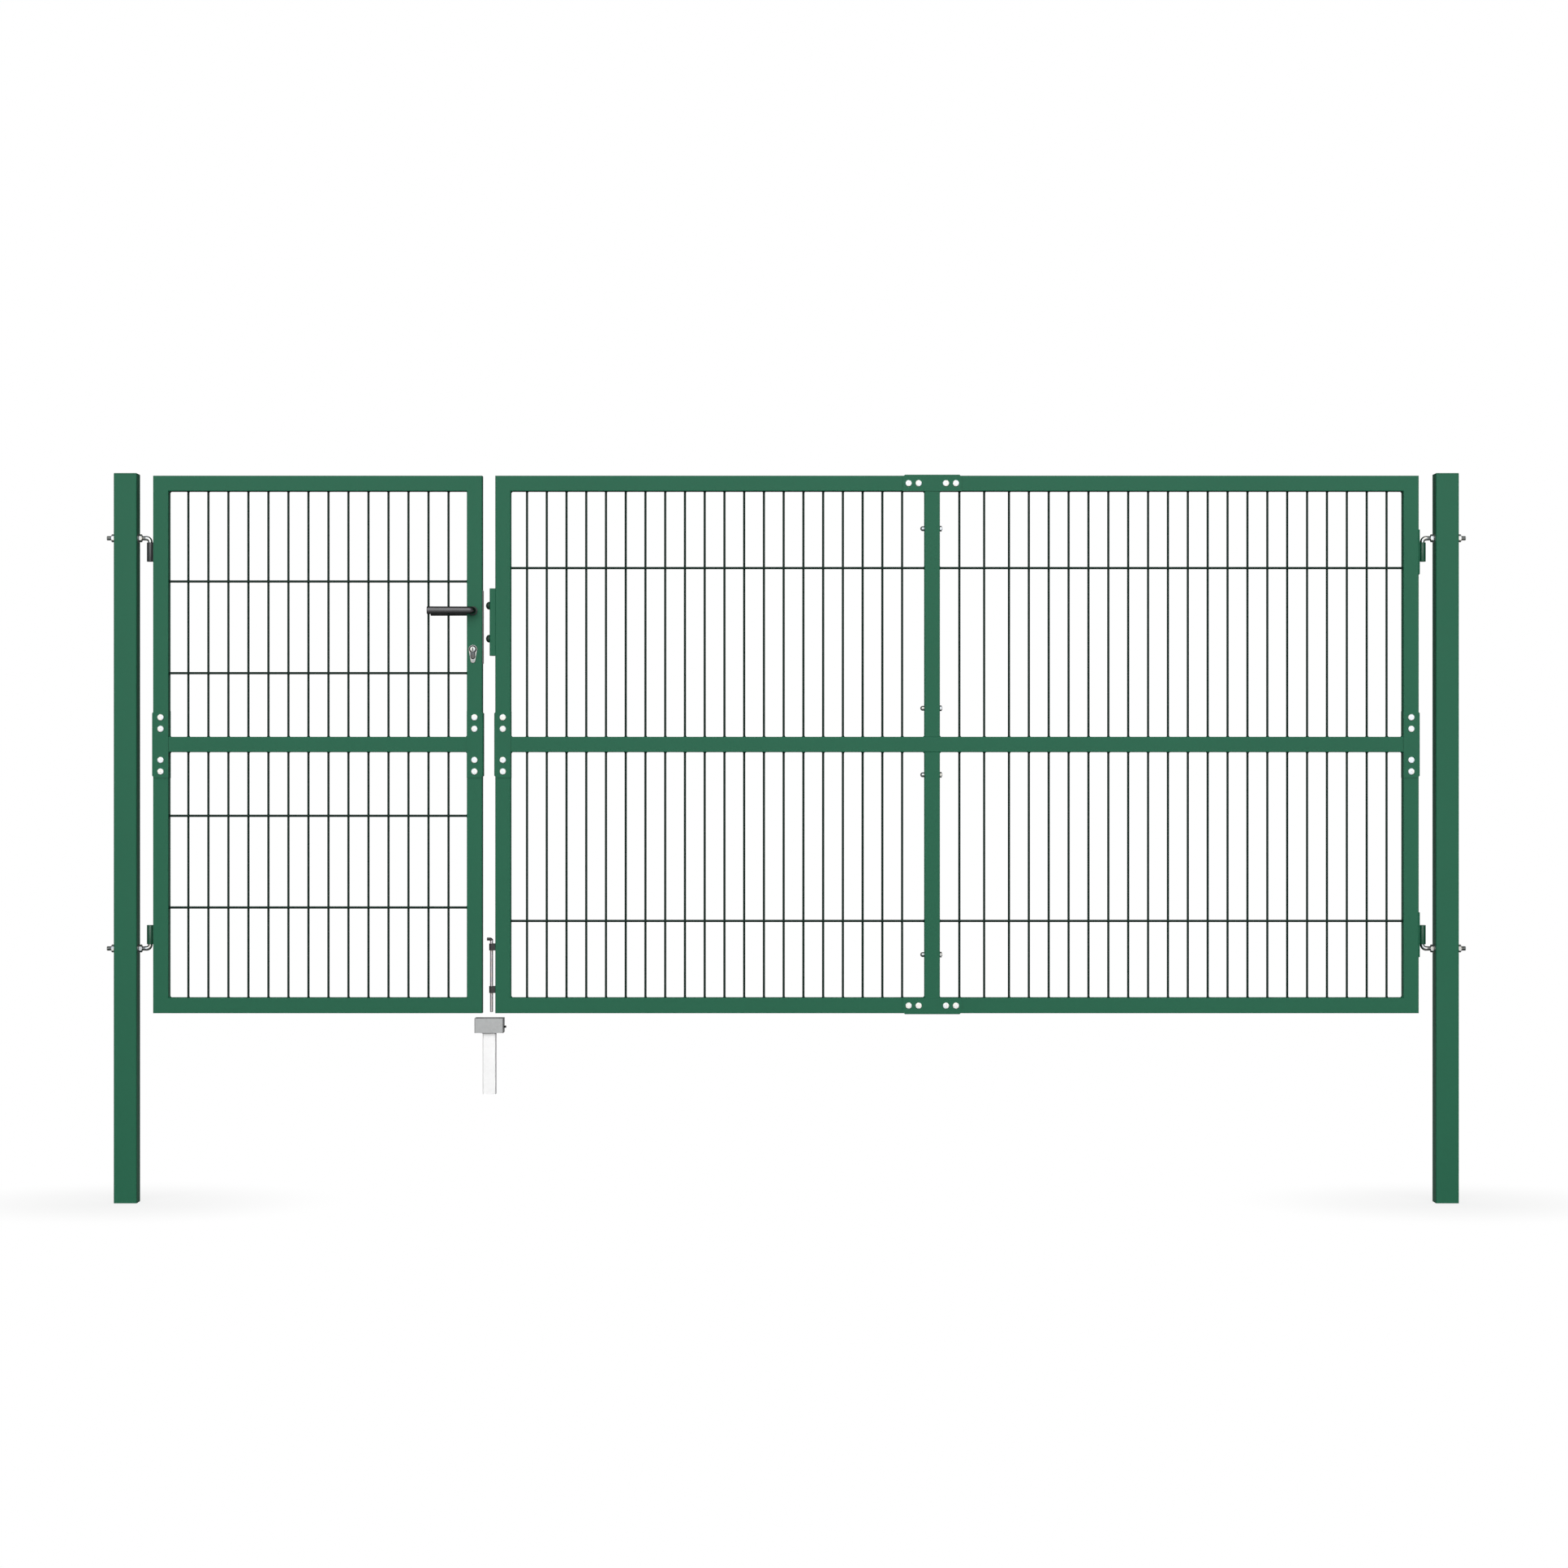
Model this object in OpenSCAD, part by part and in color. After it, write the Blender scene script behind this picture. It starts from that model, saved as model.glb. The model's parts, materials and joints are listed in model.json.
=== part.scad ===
// Double-leaf garden fence gate: two square posts, a narrow walk-through leaf with a
// lever lock and a wide leaf with a drop bolt, both filled with welded wire mesh.
// X runs along the gate, Y from front to back, Z up; the origin is the centre of the
// left post's foot. All lengths are in millimetres.

/* [Gate] */
// Width over the outer faces of both posts
overall_w = 3500; // [3000:10:4000]
// Height of the posts with their caps
post_h = 1900; // [1800:10:2200]
// Side of the square posts
post_s = 60; // [60:5:80]
// Height of both leaves
leaf_h = 1400; // [1300:10:1600]
// Drop from the top of the posts to the top of the leaves
leaf_drop = 6; // [2:1:30]
// Width of the narrow leaf
narrow_w = 857; // [800:1:1000]
// Gap between the left post and the narrow leaf
narrow_gap = 41; // [41:1:50]
// Gap between the two leaves
middle_gap = 34; // [34:1:45]
// Gap between the wide leaf and the right post
wide_gap = 43; // [43:1:52]
// Distance from the wide leaf's meeting edge to the middle of its centre stile
centre_stile_at = 1138; // [1000:1:1300]

/* [Tubes] */
// Side of the square leaf tubes
tube_s = 40; // [30:1:50]
// Wall of the leaf tubes
tube_wall = 1.5; // [1.2:0.1:2.5]
// Wall of the posts
post_wall = 2; // [1.5:0.1:3]
// Outer radius along the edges of the leaf tubes
tube_edge_r = 2.2; // [1.6:0.1:3]
// Outer radius along the edges of the posts
post_edge_r = 3; // [2.1:0.1:4]

/* [Mesh] */
// Diameter of the upright wires
upright_d = 6; // [4:0.5:6]
// Diameter of the level wires
level_d = 6.5; // [4:0.5:8]
// Depth by which the level wires are welded into the upright wires
weld_depth = 0.8; // [0.4:0.1:1.5]
// Spacing of the upright wires in the narrow leaf
narrow_pitch = 52.2; // [48:0.1:54]
// Spacing of the upright wires in the wide leaf's left bay
left_bay_pitch = 51.5; // [48:0.1:53]
// Distance from the meeting stile to the left bay's first upright wire
left_bay_first = 41.6; // [30:0.1:60]
// Spacing of the upright wires in the wide leaf's right bay
right_bay_pitch = 51.85; // [50:0.05:52]
// Distance from the centre stile to the right bay's first upright wire
right_bay_first = 51.4; // [40:0.1:60]
// Spacing of the two wider gaps that follow it
right_bay_wide_pitch = 64.7; // [60:0.1:68]
// Distance from the outer rail to the first level wire of the narrow leaf
narrow_level_at = 235; // [150:1:260]
// Distance from the outer rail to the second level wire of the narrow leaf
narrow_level_2_at = 474; // [300:1:520]
// Distance from the outer rail to the level wire of the wide leaf
wide_level_at = 200; // [100:1:400]

/* [Joining plates] */
// Thickness of the joining plates
plate_t = 2.5; // [2:0.5:4]
// Length of the joining plates on the stiles
stile_plate_l = 174; // [140:1:180]
// Length of the joining plates on the rails
rail_plate_l = 154; // [140:1:180]
// Chamfer at the outer corners of the joining plates
plate_chamfer = 6; // [2:1:12]
// Outer radius of the folds in plates and sheet
fold_r = 3; // [2:0.5:4]
// Distance from a stile plate's middle to its inner bolts
stile_bolt_near = 40.5; // [30:0.5:45]
// Distance from a stile plate's middle to its outer bolts
stile_bolt_far = 70.5; // [60:0.5:75]
// Distance from a rail plate's middle to its inner bolts
rail_bolt_near = 35.5; // [30:0.5:40]
// Distance from a rail plate's middle to its outer bolts
rail_bolt_far = 61.5; // [55:0.5:66]
// Diameter of the plate bolts' heads
bolt_head_d = 16.5; // [12:0.5:18]
// Height of the plate bolts' heads
bolt_head_h = 3.2; // [2:0.1:3.5]
// Diameter of the plate bolts' shanks
bolt_d = 8; // [6:1:8]

/* [Hinges] */
// Distance from each post to the hinge axis
axis_from_post = 31; // [31:1:35]
// Diameter of the hook bolts
hook_d = 12; // [10:1:14]
// Radius of the hook bolts' bend
hook_bend_r = 10; // [10:1:12]
// Height of the upper hook bolts above the leaves' bottom edge
upper_hook_at = 1238; // [1150:1:1260]
// Height of the lower hook bolts above the leaves' bottom edge
lower_hook_at = 168; // [140:1:250]
// Outer diameter of the hinge barrels
barrel_d = 18; // [18:1:20]
// Length of the hinge barrels
barrel_l = 50; // [36:1:50]
// Radial clearance of the hinge pins
pin_clearance = 0.05; // [0.02:0.01:0.1]
// Length of the hinge plates on the wide leaf
hinge_plate_l = 117; // [80:1:140]
// Thickness of the hinge plates on the wide leaf
hinge_plate_t = 3; // [3:0.5:4]
// Chamfer at the outer edges of the hinge plates
hinge_plate_chamfer = 2; // [1:0.5:2.5]

/* [Lock] */
// Height of the lever above the leaves' bottom edge
lever_at = 1048; // [1000:1:1100]
// Distance from the meeting edge of the narrow leaf to the lever and the cylinder
lock_backset = 24; // [22:1:26]
// Reach of the lever from its axis to its tip
lever_reach = 117; // [100:1:130]
// Drop from the lever to the middle of the lock cylinder's round head
cylinder_drop = 100; // [80:1:110]
// Height of the strike plate's middle above the leaves' bottom edge
strike_at = 1019; // [980:1:1060]
// Length of the strike plate
strike_l = 175; // [120:1:190]
// Projection of the strike plate from the wide leaf
strike_out = 15; // [12:1:18]

/* [Drop bolt and ground lock] */
// Diameter of the drop bolt
drop_d = 8; // [8:1:10]
// Height of the drop bolt's handle above the leaves' bottom edge
drop_handle_at = 192.5; // [170:0.5:230]
// Distance from the wide leaf's meeting edge to the drop bolt
drop_out = 11; // [10:1:12]
// Width of the ground lock's box
lock_box_w = 75; // [60:1:90]
// Height of the ground lock's box
lock_box_h = 38; // [25:1:45]
// Depth of the ground lock's box
lock_box_deep = 60; // [40:1:80]
// Gap between the leaves' bottom edge and the ground lock
lock_box_gap = 13; // [10:1:20]
// Width of the ground lock's leg
lock_leg_s = 34; // [30:1:40]
// Length of the ground lock's leg
lock_leg_l = 160; // [120:1:200]

/* [Hidden] */

$fn = 48;
paint = [0.19, 0.42, 0.31];
wire_paint = [0.16, 0.33, 0.27];
zinc = [0.80, 0.82, 0.84];
black = [0.06, 0.06, 0.06];
rubber = [0.05, 0.12, 0.08];
// Bodies cut right through are passed by this much on each side
pass = 1;
barrel_end_gap = 1;

// Places along X
right_post_x = overall_w - post_s;
narrow_x0 = post_s / 2 + narrow_gap;
narrow_x1 = narrow_x0 + narrow_w;
wide_x0 = narrow_x1 + middle_gap;
wide_x1 = right_post_x - post_s / 2 - wide_gap;
centre_x = wide_x0 + centre_stile_at;
left_axis_x = post_s / 2 + axis_from_post;
right_axis_x = right_post_x - post_s / 2 - axis_from_post;
lock_x = narrow_x1 - lock_backset;
drop_x = wide_x0 - drop_out;
lock_box_x = (narrow_x1 + wide_x0) / 2 + 1;

// Places along Z
leaf_top = post_h - leaf_drop;
leaf_bottom = leaf_top - leaf_h;
mid_z = (leaf_top + leaf_bottom) / 2;
mid_top = mid_z + tube_s / 2;
mid_bottom = mid_z - tube_s / 2;
upper_hook_z = leaf_bottom + upper_hook_at;
lower_hook_z = leaf_bottom + lower_hook_at;
lever_z = leaf_bottom + lever_at;
cylinder_z = lever_z - cylinder_drop;
faceplate_z = (lever_z + cylinder_z) / 2 + 8;
strike_z = leaf_bottom + strike_at;
lock_box_top = leaf_bottom - lock_box_gap;
upper_barrel_z = upper_hook_z - hook_bend_r - barrel_end_gap - barrel_l;
lower_barrel_z = lower_hook_z + hook_bend_r + barrel_end_gap;

// Posts
cap_t = 4;
foot_t = 3;
cap_plug = 25;
plug_gap = 0.3;

// Hinges
pin_l = 50;
hook_out = 22;
hook_hole_gap = 0.5;
barrel_web_w = 12;
nut_af = 18;
nut_h = 8.5;
flange_t = 1.5;
flange_d = 24;
hinge_plate_over = 22;

// Bolt holes
hole_gap = 0.25;
stile_bolts_at = [-stile_bolt_far, -stile_bolt_near, stile_bolt_near, stile_bolt_far];
rail_bolts_at = [-rail_bolt_far, -rail_bolt_near, rail_bolt_near, rail_bolt_far];
plate_nut_h = 4;
centre_bolts_at = [1263, 794.5, 621, 152];
centre_cap_d = 13;
centre_cap_base = 4.5;
centre_cap_dome = 6;
centre_nut_h = 5.5;
centre_nut_af = 13;
saddle_joint = 1;

// Lock
lever_hub_d = 19;
lever_hub_end = 50;
lever_grip_t = 14;
lever_tip_h = 20;
lever_corner_r = 4;
running_gap = 0.3;
rose_t = 3;
rose_d = 24;
spindle_s = 8;
spindle_hole_d = 12;
cylinder_head_d = 17;
cylinder_tail_w = 10;
cylinder_tail_l = 24.5;
cylinder_out = 7;
escutcheon_t = 2.5;
escutcheon_d = 23;
escutcheon_tail_w = 13;
escutcheon_tail_l = 36.5;
faceplate_w = 22;
faceplate_l = 190;
faceplate_t = 2;
strike_wall = 3;
strike_w = 34;
strike_slot_w = 16;
strike_slot_l = 48;
buffer_d = 20.5;
buffer_h = 10.5;
buffer_at = 43;

// Drop bolt
guides_at = [61, 172];
guide_h = 18;
guide_w = 17;
guide_round_d = 14;
guide_slot_w = 7.4;
drop_arm_d = 6.8;
drop_arm_l = 12;
drop_tip_at = 2;
drop_tip_chamfer = 1.5;
lock_box_wall = 2.5;
lock_hole_d = 14;
knob_d = 6;
knob_l = 6;
knob_at = 23;

// Wires have few sides, which keeps their welded crossings simple
wire_sides = 8;

// Upright wires: offsets from each opening's left side
narrow_count = 14;
left_bay_count = 20;
right_bay_count = 22;
right_bay_wide_count = 2;
narrow_first = (narrow_w - 2 * tube_s - (narrow_count - 1) * narrow_pitch) / 2;
narrow_uprights = [for (i = [0 : narrow_count - 1]) narrow_first + i * narrow_pitch];
left_bay_uprights = [for (i = [0 : left_bay_count - 1]) left_bay_first + i * left_bay_pitch];
right_bay_uprights = [for (i = [0 : right_bay_count - 1])
    right_bay_first + i * right_bay_pitch
    + min(i, right_bay_wide_count) * (right_bay_wide_pitch - right_bay_pitch)];

// ---- Basic shapes ----

// Rectangle with round corners
module round_rectangle(w, h, r) {
    square([w, h - 2 * r], center = true);
    square([w - 2 * r, h], center = true);
    for (sx = [-1, 1], sy = [-1, 1])
        translate([sx * (w / 2 - r), sy * (h / 2 - r)]) circle(r);
}

module round_square(side, r) {
    round_rectangle(side, side, r);
}

// Rectangle centred on the Y axis that starts at x = 0, with round corners at its far end
module fold_section(w, h, r) {
    translate([0, -h / 2]) square([w - r, h]);
    translate([0, r - h / 2]) square([w, h - 2 * r]);
    for (side = [-1, 1]) translate([w - r, side * (h / 2 - r)]) circle(r);
}

module tube_section(side, wall, r) {
    difference() {
        round_square(side, r);
        square(side - 2 * wall, center = true);
    }
}

// Square tube standing on z0
module upright_tube(x, z0, z1, side, wall, r) {
    translate([x, 0, z0]) linear_extrude(z1 - z0) tube_section(side, wall, r);
}

// Leaf tube lying along X
module level_tube(x0, x1, z) {
    translate([x0, 0, z]) rotate([90, 0, 90])
        linear_extrude(x1 - x0) tube_section(tube_s, tube_wall, tube_edge_r);
}

// Plate with an outline in X and Z, as thick as asked along Y
module outline(points, deep) {
    rotate([90, 0, 0]) linear_extrude(deep, center = true) polygon(points);
}

// Cylinder along Y
module y_cylinder(x, z, y0, y1, d) {
    translate([x, y1, z]) rotate([90, 0, 0]) cylinder(h = y1 - y0, d = d);
}

// Cylinder along X
module x_cylinder(x0, x1, z, d) {
    translate([x0, 0, z]) rotate([0, 90, 0]) cylinder(h = x1 - x0, d = d);
}

// Domed head standing on z = 0: a ball's cap of the given width and height
module dome(d, h) {
    ball_r = (d * d / 4 + h * h) / (2 * h);
    rotate_extrude() intersection() {
        translate([0, h - ball_r]) circle(ball_r);
        square([d / 2, h]);
    }
}

// Hexagon with flats facing Y, along X
module x_hexagon(x0, x1, z, af) {
    translate([x0, 0, z]) rotate([0, 90, 0]) cylinder(h = x1 - x0, d = af / cos(30), $fn = 6);
}

// ---- Frame members ----

// Outer rail of a leaf, mitred at both ends; side is 1 at the top and -1 at the bottom
module outer_rail(x0, x1, side) {
    outer_z = side > 0 ? leaf_top : leaf_bottom;
    inner_z = outer_z - side * tube_s;
    intersection() {
        level_tube(x0, x1, outer_z - side * tube_s / 2);
        outline([[x0, outer_z], [x1, outer_z], [x1 - tube_s, inner_z], [x0 + tube_s, inner_z]],
            tube_s + pass);
    }
}

// Stile in two lengths, mitred at its outer ends and butted against the mid rail.
// side is -1 where the leaf lies to its right and 1 where the leaf lies to its left.
module outer_stile(x_outer, side) {
    x_inner = x_outer - side * tube_s;
    x = x_outer - side * tube_s / 2;
    intersection() {
        upright_tube(x, mid_top, leaf_top, tube_s, tube_wall, tube_edge_r);
        outline([[x_outer, leaf_top], [x_inner, leaf_top - tube_s], [x_inner, mid_top],
            [x_outer, mid_top]], tube_s + pass);
    }
    intersection() {
        upright_tube(x, leaf_bottom, mid_bottom, tube_s, tube_wall, tube_edge_r);
        outline([[x_outer, leaf_bottom], [x_inner, leaf_bottom + tube_s], [x_inner, mid_bottom],
            [x_outer, mid_bottom]], tube_s + pass);
    }
}

// Holes for the four bolts of a joining plate on a stile
module stile_bolt_holes(x) {
    for (dz = stile_bolts_at)
        y_cylinder(x, mid_z + dz, -tube_s, tube_s, bolt_d + 2 * hole_gap);
}

// Holes for the four bolts of a joining plate on a rail
module rail_bolt_holes(z) {
    for (dx = rail_bolts_at)
        y_cylinder(centre_x + dx, z, -tube_s, tube_s, bolt_d + 2 * hole_gap);
}

// Folded plate around the outer side of a stile
module stile_plate(x_outer, side) {
    x_inner = x_outer - side * tube_s;
    x_plate = x_outer + side * plate_t;
    z0 = mid_z - stile_plate_l / 2;
    z1 = mid_z + stile_plate_l / 2;
    difference() {
        intersection() {
            outline([[x_inner, z0], [x_plate - side * plate_chamfer, z0],
                [x_plate, z0 + plate_chamfer], [x_plate, z1 - plate_chamfer],
                [x_plate - side * plate_chamfer, z1], [x_inner, z1]], 2 * tube_s);
            translate([x_inner, 0, z0]) rotate(side > 0 ? 0 : 180) linear_extrude(stile_plate_l)
                fold_section(tube_s + plate_t, tube_s + 2 * plate_t, fold_r);
        }
        translate([min(x_inner, x_outer) - (side > 0 ? pass : 0), -tube_s / 2, z0 - pass])
            cube([tube_s + pass, tube_s, stile_plate_l + 2 * pass]);
        stile_bolt_holes(x_outer - side * tube_s / 2);
    }
}

// Folded plate around the outer side of a rail; side is 1 at the top and -1 at the bottom
module rail_plate(side) {
    outer_z = side > 0 ? leaf_top : leaf_bottom;
    inner_z = outer_z - side * tube_s;
    plate_z = outer_z + side * plate_t;
    x0 = centre_x - rail_plate_l / 2;
    x1 = centre_x + rail_plate_l / 2;
    difference() {
        intersection() {
            outline([[x0, inner_z], [x0, plate_z - side * plate_chamfer],
                [x0 + plate_chamfer, plate_z], [x1 - plate_chamfer, plate_z],
                [x1, plate_z - side * plate_chamfer], [x1, inner_z]], 2 * tube_s);
            translate([x0, 0, inner_z]) rotate([0, side > 0 ? -90 : 90, 0])
                translate([0, 0, side > 0 ? -rail_plate_l : 0]) linear_extrude(rail_plate_l)
                fold_section(tube_s + plate_t, tube_s + 2 * plate_t, fold_r);
        }
        translate([x0 - pass, -tube_s / 2, min(inner_z, outer_z) - (side > 0 ? pass : 0)])
            cube([rail_plate_l + 2 * pass, tube_s, tube_s + pass]);
        rail_bolt_holes(outer_z - side * tube_s / 2);
    }
}

// Round-headed bolt through a joining plate from the front, with its nut at the back
module plate_bolt(x, z) {
    face = tube_s / 2 + plate_t;
    y_cylinder(x, z, -face, face, bolt_d);
    for (turn = [90, -90])
        translate([x, turn > 0 ? -face : face, z]) rotate([turn, 0, 0])
            dome(bolt_head_d, bolt_head_h);
}

// Upright wires with level wires welded across their front
module mesh(x0, uprights, levels, z0, z1) {
    level_y = weld_depth - (upright_d + level_d) / 2;
    for (dx = uprights)
        translate([x0 + dx, 0, z0]) cylinder(h = z1 - z0, d = upright_d, $fn = wire_sides);
    for (z = levels)
        translate([x0, level_y, z]) rotate([0, 90, 0]) rotate(180 / wire_sides)
            cylinder(h = mesh_w(x0), d = level_d, $fn = wire_sides);
}

// Width of the opening that starts at x0
function mesh_w(x0) =
    x0 < wide_x0 ? narrow_w - 2 * tube_s
    : x0 < centre_x ? centre_x - tube_s / 2 - wide_x0 - tube_s
    : wide_x1 - tube_s - centre_x - tube_s / 2;

// ---- Posts and ground lock ----

module post(x) {
    difference() {
        upright_tube(x, foot_t, post_h - cap_t, post_s, post_wall, post_edge_r);
        for (z = [upper_hook_z, lower_hook_z])
            x_cylinder(x - post_s, x + post_s, z, hook_d + 2 * hook_hole_gap);
    }
}

module left_post() {
    color(paint) post(0);
}

module right_post() {
    color(paint) post(right_post_x);
}

module post_caps() {
    plug_s = post_s - 2 * post_wall - 2 * plug_gap;
    color(paint) for (x = [0, right_post_x]) translate([x, 0, 0]) {
        translate([0, 0, post_h - cap_t]) linear_extrude(cap_t)
            round_square(post_s, post_edge_r);
        translate([0, 0, post_h - cap_t - cap_plug]) linear_extrude(cap_plug)
            square(plug_s, center = true);
    }
}

module post_foot_plates() {
    color(paint) for (x = [0, right_post_x]) translate([x, 0, 0])
        linear_extrude(foot_t) round_square(post_s, post_edge_r);
}

// Hook bolt through a post; side is 1 where the leaf lies to its right, and turn is -1
// where its pin points down
module hook_bolt(post_x, axis_x, side, z, turn) {
    outer_x = post_x - side * (post_s / 2 + hook_out);
    bend_x = axis_x - side * hook_bend_r;
    x_cylinder(min(outer_x, bend_x), max(outer_x, bend_x), z, hook_d);
    translate([bend_x, 0, z + turn * hook_bend_r])
        rotate([-turn * 90, 0, side > 0 ? 0 : 180])
        rotate_extrude(angle = 90) translate([hook_bend_r, 0]) circle(d = hook_d);
    translate([axis_x, 0, turn > 0 ? z + hook_bend_r : z - hook_bend_r - pin_l])
        cylinder(h = pin_l, d = hook_d);
}

module left_hinge_hooks() {
    color(zinc) {
        hook_bolt(0, left_axis_x, 1, upper_hook_z, -1);
        hook_bolt(0, left_axis_x, 1, lower_hook_z, 1);
    }
}

module right_hinge_hooks() {
    color(zinc) {
        hook_bolt(right_post_x, right_axis_x, -1, upper_hook_z, -1);
        hook_bolt(right_post_x, right_axis_x, -1, lower_hook_z, 1);
    }
}

// Flanged nut on a hook bolt, against the post's face at x; side points away from the post
module flange_nut(x, side, z) {
    end_x = x + side * (flange_t + nut_h);
    difference() {
        union() {
            x_cylinder(min(x, x + side * flange_t), max(x, x + side * flange_t), z, flange_d);
            x_hexagon(min(x, end_x), max(x, end_x), z, nut_af);
        }
        x_cylinder(min(x, end_x) - pass, max(x, end_x) + pass, z, hook_d + 2 * pin_clearance);
    }
}

module hinge_nuts() {
    color(zinc) for (x = [0, right_post_x], side = [-1, 1], z = [upper_hook_z, lower_hook_z])
        flange_nut(x + side * post_s / 2, side, z);
}

module ground_lock_box() {
    z0 = lock_box_top - lock_box_h;
    color(zinc) difference() {
        translate([lock_box_x, 0, z0]) linear_extrude(lock_box_h)
            round_rectangle(lock_box_w, lock_box_deep, fold_r);
        translate([lock_box_x - lock_box_w / 2 + lock_box_wall,
            -lock_box_deep / 2 + lock_box_wall, z0 + lock_box_wall])
            cube([lock_box_w - 2 * lock_box_wall, lock_box_deep - 2 * lock_box_wall,
                lock_box_h - 2 * lock_box_wall]);
        translate([drop_x, 0, z0 + lock_box_h / 2]) cylinder(h = lock_box_h, d = lock_hole_d);
    }
}

module ground_lock_leg() {
    z1 = lock_box_top - lock_box_h;
    color(zinc) {
        upright_tube(lock_box_x, z1 - lock_leg_l + foot_t, z1, lock_leg_s, post_wall, post_edge_r);
        translate([lock_box_x, 0, z1 - lock_leg_l]) linear_extrude(foot_t)
            round_square(lock_leg_s, post_edge_r);
    }
}

module ground_lock_knob() {
    x = lock_box_x + lock_box_w / 2;
    color(black) x_cylinder(x, x + knob_l, lock_box_top - knob_at, knob_d);
}

// ---- Narrow leaf ----

module narrow_top_rail() {
    color(paint) outer_rail(narrow_x0, narrow_x1, 1);
}

module narrow_mid_rail() {
    color(paint) level_tube(narrow_x0, narrow_x1, mid_z);
}

module narrow_bottom_rail() {
    color(paint) outer_rail(narrow_x0, narrow_x1, -1);
}

module narrow_hinge_stile() {
    color(paint) difference() {
        outer_stile(narrow_x0, -1);
        stile_bolt_holes(narrow_x0 + tube_s / 2);
    }
}

module narrow_lock_stile() {
    color(paint) difference() {
        outer_stile(narrow_x1, 1);
        stile_bolt_holes(narrow_x1 - tube_s / 2);
        y_cylinder(lock_x, lever_z, -tube_s, tube_s, spindle_hole_d);
        translate([lock_x, 0, cylinder_z])
            cylinder_outline(cylinder_head_d, cylinder_tail_w, cylinder_tail_l, hole_gap,
                2 * tube_s);
    }
}

module narrow_joining_plates() {
    color(paint) {
        stile_plate(narrow_x0, -1);
        stile_plate(narrow_x1, 1);
    }
}

module narrow_plate_bolts() {
    color(zinc) for (x = [narrow_x0 + tube_s / 2, narrow_x1 - tube_s / 2], dz = stile_bolts_at)
        plate_bolt(x, mid_z + dz);
}

module narrow_upper_mesh() {
    top = leaf_top - tube_s;
    color(wire_paint) mesh(narrow_x0 + tube_s, narrow_uprights,
        [top - narrow_level_at, top - narrow_level_2_at], mid_top, top);
}

module narrow_lower_mesh() {
    bottom = leaf_bottom + tube_s;
    color(wire_paint) mesh(narrow_x0 + tube_s, narrow_uprights,
        [bottom + narrow_level_at, bottom + narrow_level_2_at], bottom, mid_bottom);
}

// Hinge barrel between z0 and z0 + barrel_l, joined to the leaf's face at face_x
module barrel(axis_x, face_x, z0) {
    difference() {
        union() {
            translate([axis_x, 0, z0]) cylinder(h = barrel_l, d = barrel_d);
            translate([min(axis_x, face_x), -barrel_web_w / 2, z0])
                cube([abs(axis_x - face_x), barrel_web_w, barrel_l]);
        }
        translate([axis_x, 0, z0 - pass])
            cylinder(h = barrel_l + 2 * pass, d = hook_d + 2 * pin_clearance);
    }
}

module narrow_hinge_barrels() {
    color(paint) for (z = [upper_barrel_z, lower_barrel_z]) barrel(left_axis_x, narrow_x0, z);
}

// ---- Lock and lever ----

// Profile of a lock cylinder or of the opening for it, along Y and centred on y = 0
module cylinder_outline(head_d, tail_w, tail_l, gap, deep) {
    tail_r = tail_w / 2 + gap;
    tail_z = tail_w / 2 - tail_l;
    rotate([90, 0, 0]) linear_extrude(deep, center = true) {
        circle(d = head_d + 2 * gap);
        translate([-tail_r, tail_z]) square([2 * tail_r, -tail_z]);
        translate([0, tail_z]) circle(tail_r);
    }
}

// Round head that narrows to a round tail tail_l below its middle, with tangent sides
module teardrop(head_r, tail_r, tail_l, deep) {
    drop = tail_l - tail_r;
    lean = asin((head_r - tail_r) / drop);
    rotate([90, 0, 0]) linear_extrude(deep, center = true) {
        circle(head_r);
        translate([0, -drop]) circle(tail_r);
        polygon([for (side = [1, -1], end = side > 0 ? [0, 1] : [1, 0])
            let (r = end == 0 ? head_r : tail_r)
            [side * r * cos(lean), -end * drop - r * sin(lean)]]);
    }
}

module lock_faceplate() {
    color(zinc) translate([narrow_x1, -faceplate_w / 2, faceplate_z - faceplate_l / 2])
        cube([faceplate_t, faceplate_w, faceplate_l]);
}

module lock_cylinder() {
    color(zinc) translate([lock_x, 0, cylinder_z])
        cylinder_outline(cylinder_head_d, cylinder_tail_w, cylinder_tail_l, 0,
            tube_s + 2 * cylinder_out);
}

module lock_escutcheons() {
    color(zinc) for (side = [-1, 1])
        translate([lock_x, side * (tube_s + escutcheon_t) / 2, cylinder_z]) difference() {
            teardrop(escutcheon_d / 2, escutcheon_tail_w / 2, escutcheon_tail_l, escutcheon_t);
            cylinder_outline(cylinder_head_d, cylinder_tail_w, cylinder_tail_l, hole_gap,
                2 * escutcheon_t);
        }
}

module lever_roses() {
    color(black) for (side = [-1, 1]) difference() {
        y_cylinder(lock_x, lever_z, side > 0 ? tube_s / 2 : -tube_s / 2 - rose_t,
            side > 0 ? tube_s / 2 + rose_t : -tube_s / 2, rose_d);
        y_cylinder(lock_x, lever_z, -tube_s, tube_s, lever_hub_d + 2 * pin_clearance);
    }
}

// Front view of a lever's grip, with its hub at the origin
module grip_outline() {
    corner_x = lever_corner_r - lever_reach;
    hub_r = lever_hub_d / 2;
    tip_z = lever_tip_h / 2;
    side_z = tip_z - lever_corner_r;
    circle(hub_r);
    for (side = [-1, 1]) translate([corner_x, side * side_z]) circle(lever_corner_r);
    polygon([[0, hub_r], [0, -hub_r], [corner_x, -tip_z], [-lever_reach, -side_z],
        [-lever_reach, side_z], [corner_x, tip_z]]);
}

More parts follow.
